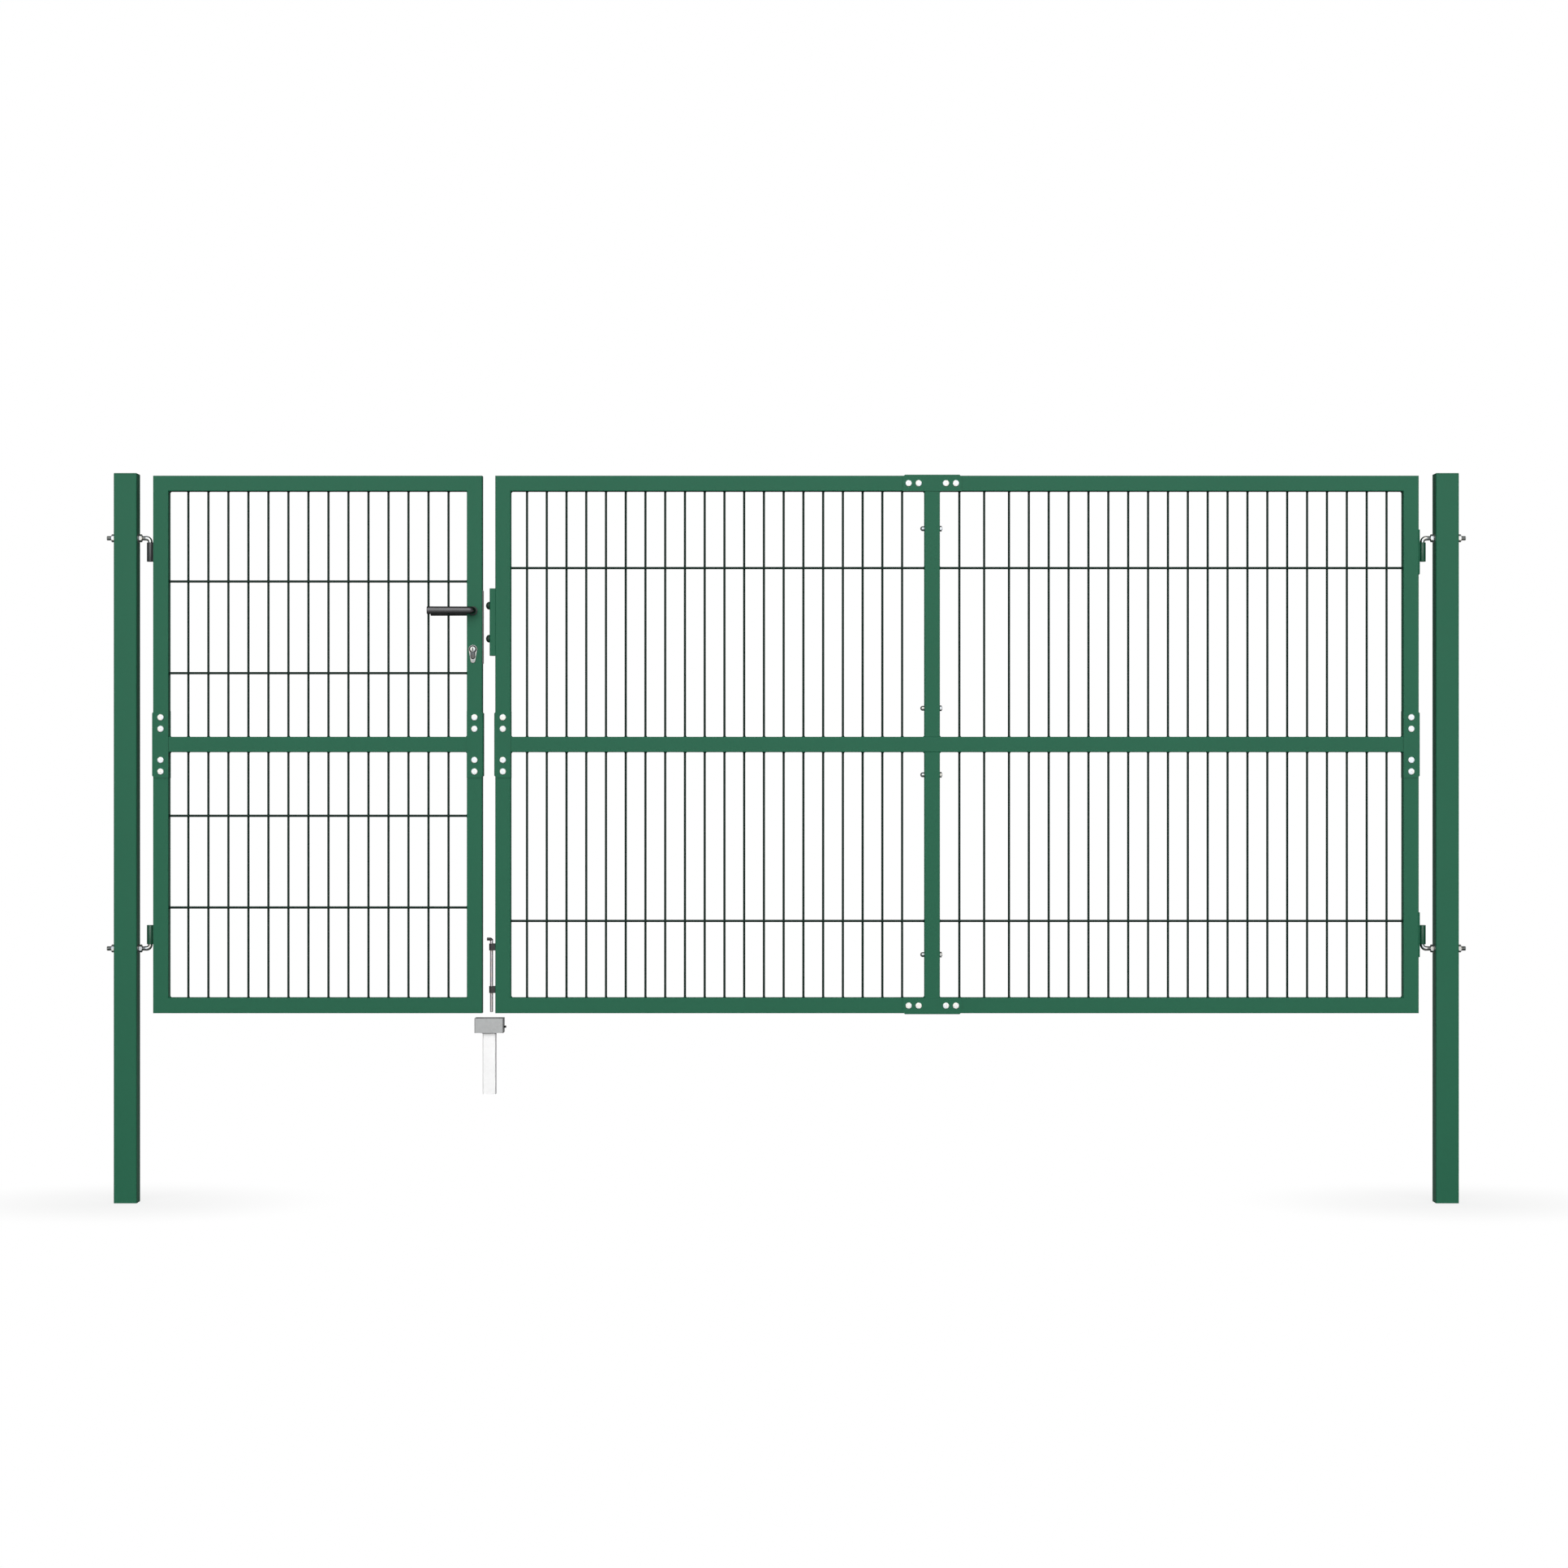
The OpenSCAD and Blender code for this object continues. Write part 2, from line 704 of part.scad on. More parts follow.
module lever_handles() {
    color(black) for (side = [-1, 1]) {
        y0 = side > 0 ? tube_s / 2 + running_gap : -lever_hub_end;
        y1 = side > 0 ? lever_hub_end : -tube_s / 2 - running_gap;
        y_cylinder(lock_x, lever_z, y0, y1, lever_hub_d);
        translate([lock_x, side * (lever_hub_end + lever_grip_t / 2), lever_z])
            rotate([90, 0, 0]) linear_extrude(lever_grip_t, center = true) grip_outline();
    }
}

module lever_spindle() {
    half_l = tube_s / 2 + running_gap;
    color(zinc) translate([lock_x - spindle_s / 2, -half_l, lever_z - spindle_s / 2])
        cube([spindle_s, 2 * half_l, spindle_s]);
}

// ---- Wide leaf ----

// Outer rail in two lengths that meet under the joining plate
module wide_outer_rail(side) {
    outer_z = side > 0 ? leaf_top : leaf_bottom;
    difference() {
        outer_rail(wide_x0, wide_x1, side);
        translate([centre_x - saddle_joint / 2, -tube_s, outer_z - tube_s - pass])
            cube([saddle_joint, 2 * tube_s, 2 * tube_s + 2 * pass]);
        rail_bolt_holes(outer_z - side * tube_s / 2);
    }
}

module wide_top_rail() {
    color(paint) wide_outer_rail(1);
}

module wide_mid_rail() {
    color(paint) level_tube(wide_x0, wide_x1, mid_z);
}

module wide_bottom_rail() {
    color(paint) wide_outer_rail(-1);
}

module wide_meeting_stile() {
    color(paint) difference() {
        outer_stile(wide_x0, -1);
        stile_bolt_holes(wide_x0 + tube_s / 2);
    }
}

module wide_centre_stile() {
    color(paint) difference() {
        union() {
            upright_tube(centre_x, mid_top, leaf_top - tube_s, tube_s, tube_wall, tube_edge_r);
            upright_tube(centre_x, leaf_bottom + tube_s, mid_bottom, tube_s, tube_wall,
                tube_edge_r);
        }
        for (dz = centre_bolts_at)
            x_cylinder(centre_x - tube_s, centre_x + tube_s, leaf_bottom + dz,
                bolt_d + 2 * hole_gap);
    }
}

module wide_hinge_stile() {
    color(paint) difference() {
        outer_stile(wide_x1, 1);
        stile_bolt_holes(wide_x1 - tube_s / 2);
    }
}

module wide_joining_plates() {
    color(paint) {
        stile_plate(wide_x0, -1);
        stile_plate(wide_x1, 1);
        rail_plate(1);
        rail_plate(-1);
    }
}

module wide_plate_bolts() {
    color(zinc) {
        for (x = [wide_x0 + tube_s / 2, wide_x1 - tube_s / 2], dz = stile_bolts_at)
            plate_bolt(x, mid_z + dz);
        for (z = [leaf_top - tube_s / 2, leaf_bottom + tube_s / 2], dx = rail_bolts_at)
            plate_bolt(centre_x + dx, z);
    }
}

// Bolts across the centre stile, domed cap on the left and nut on the right
module wide_centre_bolts() {
    x0 = centre_x - tube_s / 2;
    x1 = centre_x + tube_s / 2;
    color(zinc) for (dz = centre_bolts_at) {
        x_cylinder(x0, x1, leaf_bottom + dz, bolt_d);
        x_cylinder(x0 - centre_cap_base, x0, leaf_bottom + dz, centre_cap_d);
        translate([x0 - centre_cap_base, 0, leaf_bottom + dz]) rotate([0, -90, 0])
            dome(centre_cap_d, centre_cap_dome);
        x_hexagon(x1, x1 + centre_nut_h, leaf_bottom + dz, centre_nut_af);
    }
}

module wide_upper_left_mesh() {
    top = leaf_top - tube_s;
    color(wire_paint) mesh(wide_x0 + tube_s, left_bay_uprights, [top - wide_level_at], mid_top, top);
}

module wide_upper_right_mesh() {
    top = leaf_top - tube_s;
    color(wire_paint) mesh(centre_x + tube_s / 2, right_bay_uprights, [top - wide_level_at],
        mid_top, top);
}

module wide_lower_left_mesh() {
    bottom = leaf_bottom + tube_s;
    color(wire_paint) mesh(wide_x0 + tube_s, left_bay_uprights, [bottom + wide_level_at],
        bottom, mid_bottom);
}

module wide_lower_right_mesh() {
    bottom = leaf_bottom + tube_s;
    color(wire_paint) mesh(centre_x + tube_s / 2, right_bay_uprights, [bottom + wide_level_at],
        bottom, mid_bottom);
}

// Plate welded to the hinge stile, chamfered at the top and bottom of its outer face
module hinge_plate(z0) {
    x1 = wide_x1 + hinge_plate_t;
    z1 = z0 + hinge_plate_l;
    outline([[wide_x1, z0], [x1 - hinge_plate_chamfer, z0], [x1, z0 + hinge_plate_chamfer],
        [x1, z1 - hinge_plate_chamfer], [x1 - hinge_plate_chamfer, z1], [wide_x1, z1]], tube_s);
}

module wide_hinge_plates() {
    color(paint) for (up = [true, false]) {
        barrel_z = up ? upper_barrel_z : lower_barrel_z;
        plate_z = up ? upper_hook_z + hinge_plate_over - hinge_plate_l
            : lower_hook_z - hinge_plate_over;
        hinge_plate(plate_z);
        barrel(right_axis_x, wide_x1 + hinge_plate_t, barrel_z);
    }
}

module strike_plate() {
    x0 = wide_x0 - strike_out;
    z0 = strike_z - strike_l / 2;
    color(paint) difference() {
        translate([wide_x0, 0, z0]) rotate(180) linear_extrude(strike_l)
            fold_section(strike_out, strike_w, fold_r);
        translate([x0 + strike_wall, -strike_w / 2 + strike_wall, z0 - pass])
            cube([strike_out, strike_w - 2 * strike_wall, strike_l + 2 * pass]);
        translate([x0 - pass, -strike_slot_w / 2, strike_z - strike_slot_l / 2])
            cube([strike_out, strike_slot_w, strike_slot_l]);
    }
}

module strike_buffers() {
    x = wide_x0 - strike_out;
    color(rubber) for (dz = [-buffer_at, buffer_at])
        translate([x, 0, strike_z + dz]) rotate([0, -90, 0]) dome(buffer_d, buffer_h);
}

// Guide for the drop bolt: a round eye on a block, slotted so that the handle passes
module drop_bolt_guide(z) {
    difference() {
        union() {
            translate([drop_x, 0, z]) cylinder(h = guide_h, d = guide_round_d, center = true);
            translate([drop_x, -guide_w / 2, z - guide_h / 2])
                cube([wide_x0 - drop_x, guide_w, guide_h]);
        }
        translate([drop_x, 0, z])
            cylinder(h = guide_h + 2 * pass, d = drop_d + 2 * pin_clearance, center = true);
        translate([drop_x - guide_round_d, -guide_slot_w / 2, z - guide_h / 2 - pass])
            cube([guide_round_d, guide_slot_w, guide_h + 2 * pass]);
    }
}

module drop_bolt_guides() {
    color(black) for (dz = guides_at) drop_bolt_guide(leaf_bottom + dz);
}

module drop_bolt() {
    z1 = leaf_bottom + drop_handle_at;
    z0 = leaf_bottom + drop_tip_at;
    color(zinc) {
        translate([drop_x, 0, z0])
            cylinder(h = drop_tip_chamfer, d1 = drop_d - 2 * drop_tip_chamfer, d2 = drop_d);
        translate([drop_x, 0, z0 + drop_tip_chamfer])
            cylinder(h = z1 + drop_arm_d / 2 - z0 - drop_tip_chamfer, d = drop_d);
        x_cylinder(drop_x - drop_arm_l, drop_x, z1, drop_arm_d);
    }
}

left_post();
right_post();
post_caps();
post_foot_plates();
left_hinge_hooks();
right_hinge_hooks();
hinge_nuts();
ground_lock_box();
ground_lock_leg();
ground_lock_knob();
narrow_top_rail();
narrow_mid_rail();
narrow_bottom_rail();
narrow_hinge_stile();
narrow_lock_stile();
narrow_joining_plates();
narrow_plate_bolts();
narrow_upper_mesh();
narrow_lower_mesh();
narrow_hinge_barrels();
lock_faceplate();
lock_cylinder();
lock_escutcheons();
lever_roses();
lever_handles();
lever_spindle();
wide_top_rail();
wide_mid_rail();
wide_bottom_rail();
wide_meeting_stile();
wide_centre_stile();
wide_hinge_stile();
wide_joining_plates();
wide_plate_bolts();
wide_centre_bolts();
wide_upper_left_mesh();
wide_upper_right_mesh();
wide_lower_left_mesh();
wide_lower_right_mesh();
wide_hinge_plates();
strike_plate();
strike_buffers();
drop_bolt_guides();
drop_bolt();
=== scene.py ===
"""Finishes and fine shapes of a double-leaf garden gate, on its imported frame.

The frame gives every place: tubes, plates and sheet metal stay as they come and are painted
here, and hardware, wires, caps and welds are made as smooth meshes over the plain solids.
All lengths are in metres.
"""
import json
import logging
import math
from dataclasses import dataclass, field
from enum import Enum
from functools import cached_property
from typing import Any, Callable, Mapping, Sequence

import bpy
import numpy as np
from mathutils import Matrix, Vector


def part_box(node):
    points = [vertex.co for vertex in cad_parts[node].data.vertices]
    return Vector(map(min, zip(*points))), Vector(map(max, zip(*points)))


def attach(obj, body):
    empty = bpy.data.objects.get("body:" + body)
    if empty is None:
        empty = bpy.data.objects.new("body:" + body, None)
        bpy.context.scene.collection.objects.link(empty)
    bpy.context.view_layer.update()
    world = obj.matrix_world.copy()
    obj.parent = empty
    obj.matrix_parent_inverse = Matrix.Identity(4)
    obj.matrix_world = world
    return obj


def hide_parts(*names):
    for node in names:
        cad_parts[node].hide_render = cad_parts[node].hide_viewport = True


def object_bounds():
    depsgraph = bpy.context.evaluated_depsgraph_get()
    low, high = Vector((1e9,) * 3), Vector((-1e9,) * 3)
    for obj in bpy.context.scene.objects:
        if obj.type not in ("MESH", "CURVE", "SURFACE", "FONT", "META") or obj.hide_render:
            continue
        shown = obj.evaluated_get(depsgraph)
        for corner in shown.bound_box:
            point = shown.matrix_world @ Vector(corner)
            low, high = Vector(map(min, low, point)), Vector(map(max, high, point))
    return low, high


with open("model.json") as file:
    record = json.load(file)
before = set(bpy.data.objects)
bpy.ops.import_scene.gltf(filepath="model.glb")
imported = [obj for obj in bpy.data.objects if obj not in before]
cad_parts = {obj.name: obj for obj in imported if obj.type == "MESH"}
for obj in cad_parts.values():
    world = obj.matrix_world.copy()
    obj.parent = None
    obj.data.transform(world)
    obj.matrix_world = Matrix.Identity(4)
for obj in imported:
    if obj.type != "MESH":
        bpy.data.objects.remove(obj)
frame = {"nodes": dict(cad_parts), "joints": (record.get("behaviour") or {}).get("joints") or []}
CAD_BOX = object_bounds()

LOG = logging.getLogger("gate")
MM = 0.001
TURN = 2.0 * math.pi
HALF_TURN = TURN / 2.0
QUARTER = TURN / 4.0
CREASE = math.radians(34.0)
WHITE = (1.0, 1.0, 1.0)
Y_AXIS, Z_AXIS = np.eye(3)[1:]
NUT_CONE = math.tan(math.radians(30.0))


class Body(Enum):
    """Moving bodies of the gate."""

    POSTS = "posts"
    NARROW_LEAF = "narrow_leaf"
    LEVER = "lever"
    WIDE_LEAF = "wide_leaf"
    DROP_BOLT = "drop_bolt_rod"


class Slot(Enum):
    """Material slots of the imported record."""

    GREEN_PAINT = "green_paint"
    MESH_PAINT = "mesh_paint"
    GREEN_PLASTIC = "green_plastic"
    BRIGHT_ZINC = "bright_zinc"
    GALVANISED = "galvanised"
    NICKEL = "nickel"
    BLACK_PLASTIC = "black_plastic"
    BUFFER_RUBBER = "buffer_rubber"


class Facing(Enum):
    """Where a shape's own z axis points, as the directions of its x, y and z axes."""

    UP = ((1, 0, 0), (0, 1, 0), (0, 0, 1))
    DOWN = ((1, 0, 0), (0, -1, 0), (0, 0, -1))
    RIGHT = ((0, 1, 0), (0, 0, 1), (1, 0, 0))
    LEFT = ((0, -1, 0), (0, 0, 1), (-1, 0, 0))
    FRONT = ((1, 0, 0), (0, 0, 1), (0, -1, 0))
    BACK = ((-1, 0, 0), (0, 0, 1), (0, 1, 0))

    def skin(self, rings: np.ndarray, places: Any, looped: bool = False) -> "Shape":
        """Closed skins over copies of a stack of rings, laid along this direction.

        Each point goes to place + x * X + y * Y + z * Z, with X, Y and Z the three axes.

        Args:
            rings: Points of one stack, (rings, points on a ring, 3).
            places: Where the stack's own origin goes, once or once for each copy.
            looped: True if the last ring joins the first.

        Returns:
            The copies as one shape.
        """
        turned = rings @ np.array(self.value, dtype=float)
        return skin(np.atleast_2d(places)[:, None, None, :] + turned[None], looped)


# ---- Shapes ----


def chain(*parts: Any) -> np.ndarray:
    """Numbers and arrays of them, one after the other."""
    return np.concatenate([np.atleast_1d(part) for part in parts])


def columns(*parts: np.ndarray) -> np.ndarray:
    """Arrays side by side, along a new last axis."""
    return np.stack(parts, axis=-1)


@dataclass(frozen=True)
class Shape:
    """Points of a mesh, with its faces in groups that have equally many corners."""

    points: np.ndarray
    faces: tuple[np.ndarray, ...]

    def __add__(self, other: "Shape") -> "Shape":
        """Both shapes as one, whose second part counts its corners on from the first."""
        shifted = tuple(group + len(self.points) for group in other.faces)
        return Shape(chain(self.points, other.points), self.faces + shifted)


def neighbours(stacks: np.ndarray, looped: bool) -> tuple[np.ndarray, np.ndarray]:
    """Each ring but the last, and the ring after it, or all rings where the stack is looped.

    Args:
        stacks: Anything over rings, (stacks, rings, ...).
        looped: True if the last ring joins the first.

    Returns:
        The rings, and those that follow them.
    """
    if looped:
        return stacks, np.roll(stacks, -1, axis=1)
    return stacks[:, :-1], stacks[:, 1:]


def six_volumes(stacks: np.ndarray, looped: bool) -> np.ndarray:
    """Six times the signed volume inside each stack of rings.

    Sums a . (b x c) over all triangles abc, with a fan round the middle of each open end.

    Args:
        stacks: Points, (stacks, rings, points on a ring, 3).
        looped: True if the last ring joins the first.

    Returns:
        One signed number for each stack.
    """
    near, far = neighbours(stacks, looped)
    near_next, far_next = np.roll(near, -1, axis=2), np.roll(far, -1, axis=2)
    total = (near * np.cross(near_next, far_next)).sum(axis=(1, 2, 3))
    total += (near * np.cross(far_next, far)).sum(axis=(1, 2, 3))
    if not looped:
        for ring, sign in ((stacks[:, 0], -1.0), (stacks[:, -1], 1.0)):
            middle = ring.mean(axis=1, keepdims=True)
            total += sign * (middle * np.cross(ring, np.roll(ring, -1, axis=1))).sum(axis=(1, 2))
    return total


def skin(stacks: np.ndarray, looped: bool = False) -> Shape:
    """Closed skins over stacks of rings, with all faces pointing outwards.

    Ring i and ring i + 1 are joined by a four-sided face between each pair of neighbouring
    points, and an open end gets one face. A stack whose volume comes out negative has its rings
    reversed first.

    Args:
        stacks: Points, (..., rings, points on a ring, 3).
        looped: True if the last ring joins the first.

    Returns:
        The skins as one shape.
    """
    stacks = stacks.reshape((-1,) + stacks.shape[-3:])
    inside_out = six_volumes(stacks, looped) < 0.0
    stacks = np.where(inside_out[:, None, None, None], stacks[:, :, ::-1], stacks)
    index = np.arange(stacks[..., 0].size).reshape(stacks.shape[:3])
    near, far = neighbours(index, looped)
    corners = columns(near, np.roll(near, -1, axis=2), np.roll(far, -1, axis=2), far)
    faces = (corners.reshape(-1, 4),)
    if not looped:
        faces += (chain(index[:, 0, ::-1], index[:, -1]),)
    return Shape(stacks.reshape(-1, 3), faces)


def angles(sides: int) -> np.ndarray:
    """Equal steps round one turn, in radians, without the last one."""
    return np.arange(sides) * TURN / sides


def circles(radii: Any, sides: int) -> np.ndarray:
    """Round sections about the origin: x = r cos a, y = r sin a.

    Args:
        radii: Radius of each section, or of each point on each section.
        sides: Points on a section.

    Returns:
        Points, (radii, sides, 2).
    """
    radii = np.broadcast_to(np.reshape(radii, (len(radii), -1)), (len(radii), sides))
    turn = angles(sides)
    return columns(radii * np.cos(turn), radii * np.sin(turn))


def at_heights(flat: np.ndarray, heights: Any) -> np.ndarray:
    """Rings in x and y, (rings, points on a ring, 2), each lifted to its own z."""
    level = np.broadcast_to(np.reshape(heights, (-1, 1, 1)), flat.shape[:2] + (1,))
    return np.concatenate([flat, level], axis=-1)


def rounds(heights: Any, radii: Any, sides: int) -> np.ndarray:
    """Stack of rings round the z axis: x = r cos a, y = r sin a, z = h.

    Args:
        heights: Height of each ring.
        radii: Radius of each ring, or of each point on each ring.
        sides: Points on a ring.

    Returns:
        Points, (rings, sides, 3).
    """
    return at_heights(circles(radii, sides), heights)


def hexagon(across_flats: float, sides: int) -> np.ndarray:
    """Distance from a hexagon's middle to its edge, with a flat facing the first point.

    It is half the width over the flats, divided by the cosine of the angle between the point
    and the middle of its flat.

    Args:
        across_flats: Width over two opposite flats.
        sides: Points on the ring, a multiple of 12 so that the corners are met.

    Returns:
        One distance for each point.
    """
    from_flat = np.mod(angles(sides) + TURN / 12.0, TURN / 6.0) - TURN / 12.0
    return 0.5 * across_flats / np.cos(from_flat)


def chamfered(across_flats: float, from_end: np.ndarray, sides: int) -> np.ndarray:
    """Radii of a nut: the smaller of its hexagon and a 30 degree cone that starts at its end."""
    cone = across_flats / 2.0 + from_end / NUT_CONE
    return np.minimum(hexagon(across_flats, sides)[None], cone[:, None])


def quarter(steps: int) -> tuple[np.ndarray, np.ndarray]:
    """Sine and cosine of equal steps from 0 to a quarter turn."""
    turn = np.linspace(0.0, QUARTER, steps)
    return np.sin(turn), np.cos(turn)


def round_edge(fillet: float, steps: int) -> tuple[np.ndarray, np.ndarray]:
    """A quarter-round edge's depth below the top, r (1 - sin b), and inset, r (1 - cos b)."""
    sine, cosine = quarter(steps)
    return fillet * (1.0 - sine), fillet * (1.0 - cosine)


def rounded_rod(length: float, radius: float, fillet: float, sides: int = 24) -> np.ndarray:
    """Rings of a rod that starts at z = 0, with both ends rounded by a quarter circle.

    Args:
        length: Length of the rod.
        radius: Its radius.
        fillet: Radius of the quarter circles.
        sides: Points on a ring.

    Returns:
        Points, (rings, sides, 3).
    """
    inside, ends = round_edge(fillet, 5)
    heights = chain(ends, length - ends[::-1])
    return rounds(heights, radius - chain(inside, inside[::-1]), sides)


def dome(radius: float, chamfer: float, base: float, rise: float, least_r: float, steps: int,
         sides: int) -> np.ndarray:
    """Rings of a short cylinder under a half ellipse.

    On the half ellipse the radius is R cos b and the height is base + rise sin b.

    Args:
        radius: Radius R of the cylinder.
        chamfer: Chamfer at its foot.
        base: Its height.
        rise: Height of the half ellipse.
        least_r: Radius at which the top is left flat.
        steps: Rings on the half ellipse.
        sides: Points on a ring.

    Returns:
        Points, (rings, sides, 3).
    """
    sine, cosine = quarter(steps)
    heights = chain(0.0, chamfer, base + rise * sine)
    radii = chain(radius - chamfer, radius, radius * cosine)
    return rounds(heights, np.maximum(radii, least_r), sides)


def outward(outline: np.ndarray) -> np.ndarray:
    """Unit normals of a closed anticlockwise outline.

    The step from the point before to the point after, (dx, dy), gives (dy, -dx).

    Args:
        outline: Points in x and y, (points, 2).

    Returns:
        Normals, (points, 2).
    """
    step = np.roll(outline, -1, axis=0) - np.roll(outline, 1, axis=0)
    normal = columns(step[:, 1], -step[:, 0])
    return normal / np.linalg.norm(normal, axis=1, keepdims=True)


def slab(outline: np.ndarray, heights: Sequence[float], insets: Sequence[float]) -> np.ndarray:
    """Stack of copies of an outline, each moved inwards along its normals.

    Args:
        outline: Anticlockwise points in x and y, (points, 2).
        heights: Height of each copy.
        insets: How far each copy is moved inwards.

    Returns:
        Points, (copies, points, 3).
    """
    inset = np.asarray(insets)[:, None, None]
    return at_heights(outline[None] - inset * outward(outline)[None], heights)


def soft_slab(outline: np.ndarray, thickness: float, fillet: float, steps: int = 4) -> np.ndarray:
    """Plate of an outline from z = 0 to its thickness, with a quarter-round upper edge."""
    below, inside = round_edge(fillet, steps)
    return slab(outline, chain(0.0, thickness - below), chain(0.0, inside))


def rounded_rectangle(width: float, height: float, radius: float, steps: int = 6) -> np.ndarray:
    """Anticlockwise rectangle about the origin, whose corners are quarter circles.

    Each point is its corner's middle plus r (cos a, sin a).

    Args:
        width: Size along x.
        height: Size along y.
        radius: Radius r of the corners.
        steps: Points on each corner.

    Returns:
        Points in x and y, (points, 2).
    """
    turn = (np.arange(4)[:, None] + np.linspace(0.0, 1.0, steps)[None]) * QUARTER
    corner = np.array([[1, 1], [-1, 1], [-1, -1], [1, -1]])[:, None, :]
    middle = corner * (np.array([width, height]) / 2.0 - radius)
    arc = radius * columns(np.cos(turn), np.sin(turn))
    return (middle + arc).reshape(-1, 2)


def arc(radius: float, start: float, end: float, middle_y: float, steps: int) -> np.ndarray:
    """Points of an arc, (r cos a, middle + r sin a), from one angle to another."""
    turn = np.linspace(start, end, steps)
    return columns(radius * np.cos(turn), middle_y + radius * np.sin(turn))


def teardrop(head_r: float, tail_r: float, drop: float) -> np.ndarray:
    """Outline round a large and a small circle, with tangent sides.

    The tangents touch both circles at an angle a below the level with sin a = (R - r) / drop.

    Args:
        head_r: Large circle's radius R.
        tail_r: Small circle's radius r.
        drop: How far the small one lies below.

    Returns:
        Points in x and y, (points, 2).
    """
    lean = math.asin((head_r - tail_r) / drop)
    head = arc(head_r, -lean, HALF_TURN + lean, 0.0, 28)
    tail = arc(tail_r, HALF_TURN + lean, TURN - lean, -drop, 16)
    return chain(head, tail)


def keyed_round(head_r: float, tail_r: float, drop: float) -> np.ndarray:
    """Outline of a lock cylinder: a circle over a narrower tail with a round end.

    The tail's sides leave the circle at the angle whose cosine is r / R.

    Args:
        head_r: Large circle's radius R.
        tail_r: Small circle's radius r.
        drop: How far the small one lies below.

    Returns:
        Points in x and y, (points, 2).
    """
    meet = math.acos(tail_r / head_r)
    head = arc(head_r, -meet, HALF_TURN + meet, 0.0, 32)
    tail = arc(tail_r, HALF_TURN, TURN, -drop, 12)
    return chain(head, tail)


def sweep(path: np.ndarray, normal: np.ndarray, sections: np.ndarray) -> np.ndarray:
    """Stack of sections carried along a path that lies in one plane.

    At each path point the tangent t is the central difference. A section's first axis lies
    along normal x t and its second along the normal.

    Args:
        path: Points, (points, 3).
        normal: Unit normal of the path's plane.
        sections: Section at each path point, (points, points on a ring, 2).

    Returns:
        Points, (points, points on a ring, 3).
    """
    along = np.gradient(path, axis=0)
    along /= np.linalg.norm(along, axis=1, keepdims=True)
    across = np.cross(normal, along)
    return path[:, None] + sections[..., :1] * across[:, None] + sections[..., 1:] * normal


def node_points(node: str) -> np.ndarray:
    """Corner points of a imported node.

    Args:
        node: Name of the node.

    Returns:
        Points, (points, 3).
    """
    vertices = frame["nodes"][node].data.vertices
    flat = np.empty(3 * len(vertices))
    vertices.foreach_get("co", flat)
    return flat.reshape(-1, 3)


def cluster_middles(values: np.ndarray, gap: float) -> np.ndarray:
    """Middles of clusters of numbers, halfway between the least and the greatest.

    Args:
        values: The numbers.
        gap: Least distance between two clusters.

    Returns:
        One middle for each cluster.
    """
    ordered = np.unique(np.round(values, 6))
    groups = np.split(ordered, np.flatnonzero(np.diff(ordered) > gap) + 1)
    return np.array([(group[0] + group[-1]) / 2.0 for group in groups])


def snapped(values: np.ndarray, gap: float = 2.0 * MM) -> np.ndarray:
    """Each number, moved to the middle of its cluster."""
    middles = cluster_middles(values, gap)
    return middles[np.abs(values[:, None] - middles).argmin(axis=1)]


def tip_places(node: str, axis: int, side: int, reach: float = 0.02 * MM) -> np.ndarray:
    """Points of a node that stand furthest out along an axis, once each.

    Args:
        node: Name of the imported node.
        axis: 0, 1 or 2 for x, y or z.
        side: 1 for its highest points and -1 for its lowest.
        reach: How far from the extreme a point may lie.

    Returns:
        The places, (places, 3).
    """
    points = node_points(node)
    points = points[side * points[:, axis] > (side * points[:, axis]).max() - reach]
    return np.unique(columns(*(snapped(column) for column in points.T)), axis=0)


# ---- Shader expressions ----


